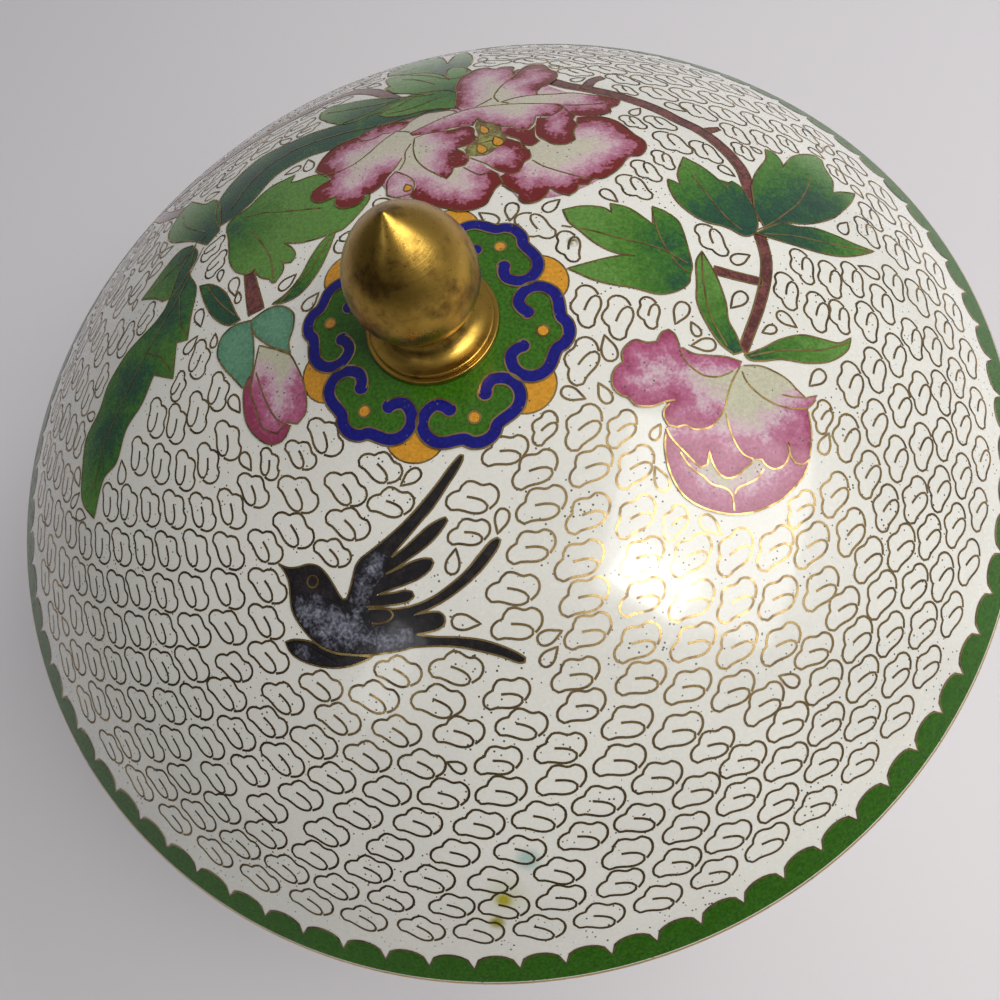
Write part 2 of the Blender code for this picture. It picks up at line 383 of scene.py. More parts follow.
def wire_brass(name, bright, dark):
    """The cloison wire: ground and polished flat, browned where the polish has worn off."""
    material, tree, shader, place = new_material(name, 0.28, metallic=1.0)
    worn = noise(tree, place, 240.0, 3.0, 0.6)
    colour = mix_colour(tree, reach(tree, worn, 0.4, 0.65), bright, dark)
    tree.links.new(colour, shader.inputs["Base Color"])
    tree.links.new(reach(tree, worn, 0.35, 0.7, 0.24, 0.42), shader.inputs["Roughness"])
    bump = add_node(tree, "ShaderNodeBump", {"Strength": 0.2, "Distance": 0.00003})
    tree.links.new(noise(tree, place, 1700.0, 2.0), bump.inputs["Height"])
    tree.links.new(bump.outputs["Normal"], shader.inputs["Normal"])
    return material


def face_outward(build, upright):
    """Turns every face the way that its vertices' outward directions point."""
    build.normal_update()
    wrong = [face for face in build.faces if face.normal.dot(upright[face.verts[0]]) < 0.0]
    bmesh.ops.reverse_faces(build, faces=wrong)


def strips(name, lines, surface, width, lift, finish, shift=0.0):
    """Flat strips of one width, all in one mesh, that follow lines of a drawing on a curved surface, at a
    lift above it and shifted to one side. A line that ends where it starts is closed. Each line is a chain
    of edges, extruded once across its width. Sizes are in millimetres."""
    build = bmesh.new()
    number_of = build.verts.layers.int.new("number")
    sides, upright = [], {}
    for line in lines:
        closed = math.dist(line[0], line[-1]) < 0.001
        places = line[:-1] if closed else line
        spots = [surface(*place) for place in places]
        count = len(spots)
        chain = []
        for number, (spot, normal) in enumerate(spots):
            before = spots[number - 1][0] if number or closed else spot
            after = spots[(number + 1) % count][0] if number + 1 < count or closed else spot
            across = normal.cross(after - before).normalized()
            foot_point = spot + normal * lift * MM
            low, high = shift - 0.5 * width, shift + 0.5 * width
            vertex = build.verts.new(foot_point + across * low * MM)
            vertex[number_of] = len(sides)
            sides.append((foot_point + across * high * MM, normal))
            upright[vertex] = normal
            chain.append(vertex)
        for first, second in zip(chain, chain[1:] + (chain[:1] if closed else [])):
            if first is not second:
                build.edges.new((first, second))
    grown = bmesh.ops.extrude_edge_only(build, edges=build.edges[:])["geom"]
    for vertex in grown:
        if isinstance(vertex, bmesh.types.BMVert):
            vertex.co, upright[vertex] = sides[vertex[number_of]]
    face_outward(build, upright)
    for face in build.faces:
        face.smooth = True
    return new_object(name, build, [finish])


def band_between(name, first_line, second_line, surface, lift, finish):
    """A closed band of enamel between two closed lines with as many points."""
    build = bmesh.new()
    edges, upright = [], {}
    for line in (first_line, second_line):
        ring = []
        for spot, normal in (surface(*place) for place in line):
            ring.append(build.verts.new(spot + normal * lift * MM))
            upright[ring[-1]] = normal
        edges += [build.edges.new(pair) for pair in zip(ring, ring[1:] + ring[:1])]
    bmesh.ops.bridge_loops(build, edges=edges)
    face_outward(build, upright)
    for face in build.faces:
        face.smooth = True
    return new_object(name, build, [finish])


def scalloped(count, cusp, peak, steps=8):
    """(turn, distance) round a circle for a row of scallops between a cusp and a peak distance."""
    points = []
    for number in range(count * steps):
        share = (number % steps) / steps
        bulge = math.sqrt(max(1.0 - (2.0 * share - 1.0) ** 2, 0.0)) ** 0.9
        points.append((number / (count * steps) * math.tau, cusp + (peak - cusp) * bulge))
    return points


def on_circle(angle, radius):
    """The place in plan at an angle and a radius."""
    return radius * math.cos(angle), radius * math.sin(angle)


wires = wire_brass("cloison_wire", (0.46, 0.33, 0.15), (0.19, 0.135, 0.075))
fine_wires = wire_brass("bright_cloison_wire", (0.60, 0.43, 0.17), (0.25, 0.155, 0.06))
border_green = enamel("border_green_enamel", [(0.0, (0.026, 0.108, 0.003))], grain=0.35, gloss=0.15)
scallop_line = scalloped(SCALLOPS, SCALLOP_CUSP, SCALLOP_PEAK)
inner_line = [on_circle(angle - 0.5 * math.pi, radius) for angle, radius in scallop_line]
outer_line = [on_circle(angle - 0.5 * math.pi, GILT_FROM) for angle, radius in scallop_line]
lid_border = band_between("lid_border", inner_line, outer_line, lid_surface, 0.04, border_green)
border_lines = [inner_line + inner_line[:1]]
lid_border_wires = strips("lid_border_wires", border_lines, lid_surface, BORDER_WIRE, WIRE_LIFT, wires)
for thing in (lid_border, lid_border_wires):
    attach(thing, "root")

# Collar
# A flower of six cloud-shaped heads round the finial: green enamel inside a broad cobalt band that curls
# in at both ends, amber petals behind the gaps and an amber dot in each head. Each layer of enamel or wire
# lies a little above the one under it.
COLLAR_HEADS, COLLAR_RADIUS = 6, 20.2
BAND_WIDTH, FINE_WIRE = 2.6, 0.36
CURL_MIDDLE, HEAD_TIP, HEAD_TIP_RADIUS = (-6.1, -20.4), (0.0, -23.2), 4.2
CURL_END, CURL_END_RADIUS = (3.75, -18.75), 1.45
PETAL_MIDDLE, PETAL_LENGTH, PETAL_WIDTH = 24.0, 5.2, 5.9
DOT_MIDDLE, DOT_RADIUS, DOT_WIRE = (0.0, -22.3), 1.25, 0.40


def smooth_line(points, step=0.7, corner=52.0, closed=False):
    """A smooth curve through points, with a sharp corner wherever the points turn by more than an angle."""
    places = [numpy.array(point, dtype=float) for point in points]
    if closed and numpy.linalg.norm(places[0] - places[-1]) < 0.01:
        places = places[:-1]
    count = len(places)
    sharp = []
    for number in range(count):
        into = places[number] - places[number - 1]
        out = places[(number + 1) % count] - places[number]
        turn = abs(math.degrees(math.atan2(into[0] * out[1] - into[1] * out[0], into @ out)))
        sharp.append(turn > corner or (not closed and number in (0, count - 1)))
    curve = []
    for number in range(count if closed else count - 1):
        here, there = places[number], places[(number + 1) % count]
        before = 2 * here - there if sharp[number] else places[number - 1]
        after = 2 * there - here if sharp[(number + 1) % count] else places[(number + 2) % count]
        length = numpy.linalg.norm(there - here)
        slope_in = (there - before) * length / max(length + numpy.linalg.norm(here - before), 0.001)
        slope_out = (after - here) * length / max(length + numpy.linalg.norm(after - there), 0.001)
        pieces = max(int(math.ceil(length / step)), 1)
        for piece in range(pieces):
            t = piece / pieces
            place = (2 * t**3 - 3 * t**2 + 1) * here + (t**3 - 2 * t**2 + t) * slope_in
            place = place + (3 * t**2 - 2 * t**3) * there + (t**3 - t**2) * slope_out
            curve.append((float(place[0]), float(place[1])))
    curve.append(curve[0] if closed else tuple(float(value) for value in places[-1]))
    return curve


def patches(name, cells, surface, lift, finish, layer=0.004, grid=1.6):
    """Enamel cells in one mesh. A cell is (closed outline, edge line, start depth): each vertex keeps its
    distance from the edge line plus the start depth in the depth attribute. Each cell is one face, cut by
    a square grid so that it can follow the curved surface, and lies a little above the one before it."""
    whole = bmesh.new()
    whole.verts.layers.float.new("depth")
    for order, (outline, edge, start) in enumerate(cells):
        build = bmesh.new()
        depth = build.verts.layers.float.new("depth")
        corners = outline[:-1] if math.dist(outline[0], outline[-1]) < 0.001 else outline
        build.faces.new([build.verts.new((x, y, 0.0)) for x, y in corners])
        bmesh.ops.triangulate(build, faces=build.faces[:])
        for axis in (0, 1):
            low = min(point[axis] for point in corners)
            high = max(point[axis] for point in corners)
            for cut in range(int(low / grid) + 1, int(high / grid) + 1):
                place = Vector((cut * grid, 0.0, 0.0)) if axis == 0 else Vector((0.0, cut * grid, 0.0))
                bmesh.ops.bisect_plane(
                    build,
                    geom=build.verts[:] + build.edges[:] + build.faces[:],
                    plane_co=place,
                    plane_no=place.normalized() if cut else Vector((1 - axis, axis, 0.0)),
                )
        bmesh.ops.recalc_face_normals(build, faces=build.faces[:])
        line = numpy.array(edge if edge else outline)
        upright = {}
        for vertex in build.verts:
            away = line - (vertex.co.x, vertex.co.y)
            vertex[depth] = start + float(numpy.sqrt((away * away).sum(axis=1).min()))
            spot, upright[vertex] = surface(vertex.co.x, vertex.co.y)
            vertex.co = spot + upright[vertex] * (lift + layer * order) * MM
        face_outward(build, upright)
        part = bpy.data.meshes.new("part")
        build.to_mesh(part)
        build.free()
        whole.from_mesh(part)
        bpy.data.meshes.remove(part)
    for face in whole.faces:
        face.smooth = True
    return new_object(name, whole, [finish])


def turn_by(points, angle):
    """Points turned about the middle of the plan."""
    cosine, sine = math.cos(angle), math.sin(angle)
    return [(x * cosine - y * sine, x * sine + y * cosine) for x, y in points]


def arc_points(middle, radii, start, end, steps):
    """Points round a middle between two angles in degrees, with a radius that may grow."""
    points = []
    for step in range(steps + 1):
        share = step / steps
        radius = radii[0] + (radii[1] - radii[0]) * share
        angle = math.radians(start + (end - start) * share)
        points.append((middle[0] + radius * math.cos(angle), middle[1] + radius * math.sin(angle)))
    return points


def circle(radius, sides, middle=(0.0, 0.0)):
    """A circle in plan that ends where it starts."""
    around = [on_circle(math.tau * side / sides, radius) for side in range(sides)]
    return [(middle[0] + x, middle[1] + y) for x, y in around + around[:1]]


def plain_cells(outlines):
    """Cells whose depth is measured from their whole outline."""
    return [(outline, None, 0.0) for outline in outlines]


left_curl = arc_points(CURL_MIDDLE, (2.7, 3.7), 36.0, 90.0, 3)
left_curl += arc_points(CURL_MIDDLE, (3.7, 4.2), 115.0, 256.0, 6)
head_tip = arc_points(HEAD_TIP, (HEAD_TIP_RADIUS, HEAD_TIP_RADIUS), 212.0, 328.0, 5)
right_curl = [(-x, y) for x, y in left_curl[::-1]]
head_band = smooth_line(left_curl + head_tip + right_curl, 0.5, corner=120.0)
head_field = head_band + [(2.2, -17.0), (0.0, -13.0), (-2.2, -17.0)]
petal = [(PETAL_MIDDLE + PETAL_LENGTH * x, PETAL_WIDTH * y) for x, y in circle(1.0, 28)]
dot = circle(DOT_RADIUS, 16, DOT_MIDDLE)
petals, fields, bands, curl_ends, dots = [], [circle(COLLAR_RADIUS, 60)], [], [], []
for head in range(COLLAR_HEADS):
    angle = head * math.tau / COLLAR_HEADS
    petals.append(turn_by(petal, angle))
    fields.append(turn_by(head_field, angle))
    bands.append(turn_by(head_band, angle))
    for side in (-1.0, 1.0):
        curl_end = circle(CURL_END_RADIUS, 14, (side * CURL_END[0], CURL_END[1]))
        curl_ends.append(turn_by(curl_end, angle))
    dots.append(turn_by(dot, angle))
cobalt = enamel("cobalt_enamel", [(0.0, (0.006, 0.006, 0.185))], grain=0.35, gloss=0.30)
amber = enamel("amber_enamel", [(0.0, (0.64, 0.29, 0.014))], grain=0.18)
collar_green = enamel("collar_green_enamel", [(0.0, (0.036, 0.132, 0.006))], grain=0.35, gloss=0.30)
half_band = 0.5 * BAND_WIDTH
collar_parts = [
    patches("collar_petals", plain_cells(petals), lid_surface, 0.03, amber),
    strips("collar_petal_wires", petals, lid_surface, FINE_WIRE, 0.06, fine_wires),
    patches("collar_field", plain_cells(fields), lid_surface, 0.08, collar_green),
    patches("collar_curl_ends", plain_cells(curl_ends), lid_surface, 0.14, cobalt),
    strips("collar_curl_wires", curl_ends, lid_surface, FINE_WIRE, 0.17, fine_wires),
    strips("collar_bands", bands, lid_surface, BAND_WIDTH, 0.20, cobalt),
    strips("collar_band_outer_wires", bands, lid_surface, FINE_WIRE, 0.22, fine_wires, half_band),
    strips("collar_band_inner_wires", bands, lid_surface, FINE_WIRE, 0.22, fine_wires, -half_band),
    patches("collar_dots", plain_cells(dots), lid_surface, 0.14, amber),
    strips("collar_dot_wires", dots, lid_surface, DOT_WIRE, 0.19, fine_wires),
]
for thing in collar_parts:
    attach(thing, "root")

# Peonies, leaves and branches of the lid
# Flat enamel cells between soldered wires. A petal goes from maroon at its frilled rim through pink to a
# greenish white at its root, a leaf from dark teal at its base to bright green at its tips, and the stems
# are maroon.

# The petals of the open peony, from the back to the front: (frilled rim, inner outline, start depth)
UPPER_PEONY = [
    ([(27, 63), (28.8, 68), (29.5, 71.5), (31, 75), (33, 78), (36, 80), (38, 81.2), (40.5, 80.7),
      (41.5, 79), (42.5, 78), (44, 78.6), (46, 77.7), (46.7, 76), (45.5, 73.5), (45.5, 71)],
     [(42, 68), (39, 65), (36.5, 61.5), (34, 60), (31, 59), (28, 58.5), (27, 60)], 1.5),
    ([(45.5, 71), (47, 73), (49.5, 75.3), (52, 76), (54, 75), (54.5, 72.5), (54.3, 70.5), (55.2, 68),
      (54.5, 65.3), (52.5, 62.8), (50, 61), (48.5, 60.5)],
     [(46.5, 58.5), (46, 57.3), (40, 58), (36.5, 58.2), (36.5, 61.5), (39, 65), (42, 68)], 0.6),
    ([(-9, 56), (-10.5, 59), (-9, 61.5), (-6.5, 64), (-3, 65.5), (2.3, 65.3)],
     [(2.5, 62.5), (5, 61.2), (8, 61.5), (10, 60.3), (7, 58.5), (3, 56), (-1, 54.2), (-5, 54),
      (-8, 55)], 0.5),
    ([(2.3, 65.3), (5, 65.8), (9, 65.5), (12, 64.5), (15.3, 62.3)],
     [(13, 60.5), (10, 60.3), (8, 61.5), (5, 61.2), (2.5, 62.5)], 2.0),
    ([(15.3, 62.3), (18, 63.2), (20, 63.3), (22, 62.3), (25, 61), (26.3, 59.3)],
     [(26, 58.3), (20, 57.5), (14, 56.8), (10, 60.3), (13, 60.5)], 9.0),
    ([(4, 43.5), (2.5, 42), (0, 41), (-2, 41.5), (-3, 39.8), (-5, 39.2), (-8, 40.5), (-9, 43), (-8, 45.5),
      (-10, 45.6), (-12.5, 46.5), (-13.7, 49), (-13, 51.5), (-10, 52.3), (-7, 52.2), (-9, 55.5)],
     [(-8, 55), (-5, 54), (-1, 54.2), (3, 56), (7, 58.5), (11, 60.3), (14, 57), (13.6, 54.5), (10, 49.5),
      (7, 46)], 0.5),
    ([(61, 50), (63.5, 47.5), (62, 45.5), (59.5, 44.5), (59, 42.8), (56, 42.3), (53, 43), (50.5, 44.2)],
     [(49.8, 46), (49, 50), (45, 52.5), (40, 55), (37, 57.8), (41, 58), (45, 57.3), (50, 55.5),
      (54, 54.5), (57, 52.5)], 0.5),
    ([(50.5, 43), (53.5, 42.5), (56.5, 41), (58.5, 38.5), (59.5, 35), (60, 32.5), (61, 29.5), (60.3, 27),
      (58, 25), (55, 25.3), (52.5, 23), (50, 21.5), (47, 20.5), (44.7, 21), (43, 19.8), (41, 20.5),
      (40, 19), (38, 18.3), (36, 20), (35, 22), (33.5, 20.3), (31, 19.3), (28.5, 20), (27.8, 21.5),
      (28.5, 23), (27, 25.5), (26.2, 28), (26.3, 30)],
     [(28.5, 30.5), (31, 29.7), (33, 32), (35, 33), (35.5, 35.5), (37, 36.5), (40, 37.5), (41.3, 35),
      (44, 34), (46.5, 34.8), (47.8, 38), (49.5, 41)], 0.5),
    ([(26.5, 31.5), (26.5, 28), (24.5, 27), (22.5, 25), (21, 23.5), (18, 23.3), (15, 24.3), (13, 26.5),
      (10, 29), (8, 32), (7, 34.7)],
     [(9.2, 37), (9, 40.5), (7, 44), (9.5, 47), (10.5, 50), (13, 53), (12, 46), (12.5, 42), (14, 38),
      (16, 35.3), (18, 38), (22, 38.5), (22.5, 39), (24, 37.5), (25, 34.5), (26, 32.5)], 0.5),
    ([(42, 46.8), (39.3, 40.3), (40.3, 37.5), (41.5, 35.3), (44, 34.2), (46.5, 35), (47.5, 38),
      (49.5, 40.5), (49, 42.5), (50.5, 44.2)],
     [(49.8, 46), (49.3, 48), (47, 47), (44.5, 46)], 0.5),
    ([(42, 46.8), (40.5, 44), (38.7, 40), (39, 37.7), (37, 36.8), (35.3, 38), (35, 40.5), (33.5, 42.5)],
     [(32.5, 44.5), (33, 47), (35, 46), (36.5, 44), (38.5, 42.8), (40.5, 44)], 0.0),
    ([(27.5, 31.5), (29, 29.8), (31, 29.5), (33, 32), (35, 33), (35.7, 35.7), (34.5, 37), (35, 39),
      (33.8, 40.5), (32.5, 42)],
     [(29, 43), (23, 43), (22.8, 40), (24.5, 37), (25.5, 35.5), (26.5, 33)], 0.8),
    ([(14, 55.5), (17.5, 54), (20, 53), (23, 53), (25.5, 51.8), (27.5, 51), (29.5, 53.5), (29.8, 51.5),
      (32, 49.5), (33, 47.5), (35.5, 46), (36.5, 44), (38.5, 43.2), (40.5, 45), (42, 47.7), (45, 46.3),
      (47, 47), (49.5, 48.5), (49, 50.3)],
     [(47, 51.5), (44, 53), (40, 55), (35, 57), (30, 58.6), (25, 58.8), (21, 58.3), (17, 57.6),
      (13.7, 57)], 2.6),
    ([(16, 35.3), (17.5, 36.5), (18.5, 38), (21, 37.5), (22.5, 39), (22.3, 42), (21, 44.5), (24, 44),
      (26, 43.5), (27, 45.5), (26.5, 47), (27.3, 49.5), (26, 51.5), (23, 52)],
     [(20, 53), (17, 54.2), (14, 54.2), (12.5, 50), (12, 46), (12.7, 42), (14.5, 38)], 1.2),
    ([(6.5, 44.5), (4, 42.5), (2.5, 38), (4, 36), (7.5, 35), (9, 37.5), (9, 40), (7.5, 43)],
     [], 5.0),
]
UPPER_HEART = [(29.8, 54), (28, 50.5), (27, 46), (23, 43), (22.8, 40), (27, 38.5), (33, 42), (32.5, 45),
               (33, 48), (31, 50.5)]
UPPER_BACKING = [(-9, 56), (-9, 61), (-3, 65), (5, 65.3), (12, 64), (20, 62.8), (26.5, 61), (29, 68),
                 (31.5, 75), (38, 80.6), (46, 76), (45.7, 72), (52, 75.5), (54.5, 68), (50, 61),
                 (54, 54.2), (61, 49.6), (62.6, 47.4), (53.5, 43), (58, 38), (60, 28), (50, 22), (38, 19),
                 (28, 21), (26.5, 29), (21, 24), (15, 25), (8, 32), (3.5, 37), (2.5, 42), (-5, 39.8),
                 (-8.4, 45.8), (-13, 48), (-12.5, 51.5), (-8, 52.4)]
UPPER_FINE_LINES = [
    [(20.5, 37), (22, 34), (23, 32.7), (24.5, 32.5), (26.5, 31.5)],
    [(46, 52), (49, 50), (54, 48), (60, 47)],
    [(35, 32), (36.5, 29), (39, 26), (42, 23), (44.5, 21)],
]
LEFT_RIM = [(42.5, -24), (42.8, -21.4), (42.1, -20), (40.6, -20.1), (38.8, -21.6), (36.8, -21.1),
            (35, -19.8), (33, -20.2), (31.3, -21.5), (30.8, -23.2), (28.8, -23.9), (27.3, -25.5),
            (26.7, -27.5), (27.3, -29.2), (28.5, -30.4), (29, -32.1), (30.7, -33.1), (32.5, -33.6),
            (35, -33.6), (36.6, -33.9)]
LEFT_FOLD = [(36.6, -33.9), (34.1, -34.7), (33.1, -36.1), (33.2, -38), (34.5, -38.9), (36.2, -39.1),
             (37.3, -40.4), (39.1, -41), (40.9, -41), (43.3, -39.8), (45.2, -38.3), (46.5, -36.6),
             (48.9, -34.1), (52, -31.6)]
CRESCENT_LOW = [(52, -31.6), (49.4, -32.3), (46.4, -32.3), (44.1, -31.1), (42.7, -29), (42.1, -26.6),
                (42.5, -24)]
CRESCENT_TOP = [(42.5, -24), (44.4, -26.4), (47.3, -27.8), (50.3, -29.1), (52.7, -31)]
RIGHT_TOP = [(52, -31.6), (55.9, -32.9), (58, -34.7), (59.8, -37), (60.7, -39.5), (61.6, -41.6),
             (64.2, -41.8)]
RIGHT_LOW = [(64.2, -41.8), (63.1, -42.7), (61.3, -43.5), (59.4, -43.3), (57.5, -42.6), (55.2, -41.2),
             (53.3, -39.1), (52.2, -37), (51.6, -34.6), (52, -31.6)]
RIGHT_FOLD = [(61.6, -41.6), (59.3, -40.7), (57.2, -39.6)]
MIDDLE_RIM = [(32.5, -38.4), (32.5, -40.1), (33, -42), (33.6, -43.6), (34.5, -46), (35.2, -47.5),
              (36.6, -47.5), (38.2, -45.3), (37.8, -47.2), (38, -49.7), (39.1, -51.1), (41.1, -51.3),
              (42.8, -50.7), (45.3, -49.9)]
FRONT_RIM = [(52, -31.6), (48.8, -33.7), (46.6, -35.9), (44.7, -39.6), (43.8, -43.5), (43.7, -46.2),
             (44.2, -48.1), (45.5, -49.4), (47.1, -50.1), (47.3, -51.2), (48.5, -52.5), (50.8, -52.4),
             (52.7, -50.9), (53.7, -48.8), (52.9, -51.3), (53.2, -52.8), (54.6, -53.4), (56.4, -53)]
ROUND_RIM = [(32.5, -38.4), (30.7, -41.6), (29.6, -45.2), (29.4, -48.5), (30.2, -51.8), (32.4, -54.6),
             (35.5, -56.8), (38.4, -58), (42.4, -58.6), (47, -58.2), (51.1, -56.8), (54.4, -54.9),
             (57.4, -51.3), (59.5, -47.8), (60.7, -44.2)]
HOLLOW = [(35.1, -47.6), (36.9, -49), (39, -51.2), (41.8, -51.4), (45.2, -50.1), (46.1, -51.5),
          (43.6, -52.7), (40.7, -52.8), (39, -53.4), (36.8, -51.4), (35.1, -49)]
LEFT_SEAM = [(33.1, -41.1), (33, -44.8), (33.8, -47.5), (35, -49.3), (35.8, -51.1), (37.9, -52.7),
             (38.5, -54.2), (37.4, -57.6)]
RIGHT_SEAM = [(38.7, -54.6), (40.1, -53.5), (42.2, -53.3), (44.6, -53), (46.6, -51.8)]
# The parts of the round peony, from the back to the front: (closed outline, rim, start depth)
LOWER_PEONY = [
    (ROUND_RIM + [(56, -38), (50, -34), (40, -34)], ROUND_RIM, 1.2),
    (HOLLOW, HOLLOW, 8.0),
    (MIDDLE_RIM + [(44.2, -48), (43.8, -43.5), (44.7, -39.6), (46, -36.6), (43.3, -39), (39.1, -40),
                   (36.2, -38.4)], MIDDLE_RIM[3:], 1.0),
    (FRONT_RIM + ROUND_RIM[12:] + RIGHT_LOW[2:9], FRONT_RIM[6:] + ROUND_RIM[12:], 1.0),
    (RIGHT_TOP + RIGHT_LOW, RIGHT_LOW[:4], 3.6),
    (LEFT_RIM + LEFT_FOLD + CRESCENT_LOW, LEFT_RIM + LEFT_FOLD[:9], 1.2),
    (CRESCENT_TOP + CRESCENT_LOW, CRESCENT_TOP, 2.6),
]
LOWER_LINES = [LEFT_RIM, LEFT_FOLD, CRESCENT_LOW, CRESCENT_TOP, RIGHT_TOP, RIGHT_LOW, RIGHT_FOLD, MIDDLE_RIM,
               FRONT_RIM, ROUND_RIM, LEFT_SEAM, RIGHT_SEAM]
BUD = [
    ([(-41.5, 8), (-43, 4), (-43.5, 0), (-42.5, -4), (-40, -7.5), (-37, -8), (-34.5, -6)],
     [(-37, -3), (-38, 4), (-38, 11)], -1.0),
    ([(-40.5, 6), (-40.5, 2), (-40.5, -3), (-38, -6), (-35, -5), (-33, -6.5), (-30.5, -5), (-29, 0)],
     [(-29, 5), (-30, 10), (-33, 13), (-35.5, 15.5), (-38, 11)], 1.6),
]
BUD_CALYX = [
    [(-40, 24.5), (-43.5, 23.5), (-45.5, 20), (-45, 16), (-43.5, 12), (-42, 8), (-40, 8), (-38, 12),
     (-36.5, 17), (-36, 20.5), (-35.5, 23)],
    [(-35.5, 23), (-31, 23.3), (-28, 22), (-26, 18.5), (-27, 15), (-29, 12), (-29.5, 9), (-32, 12),
     (-35, 17), (-36, 20.5)],
]
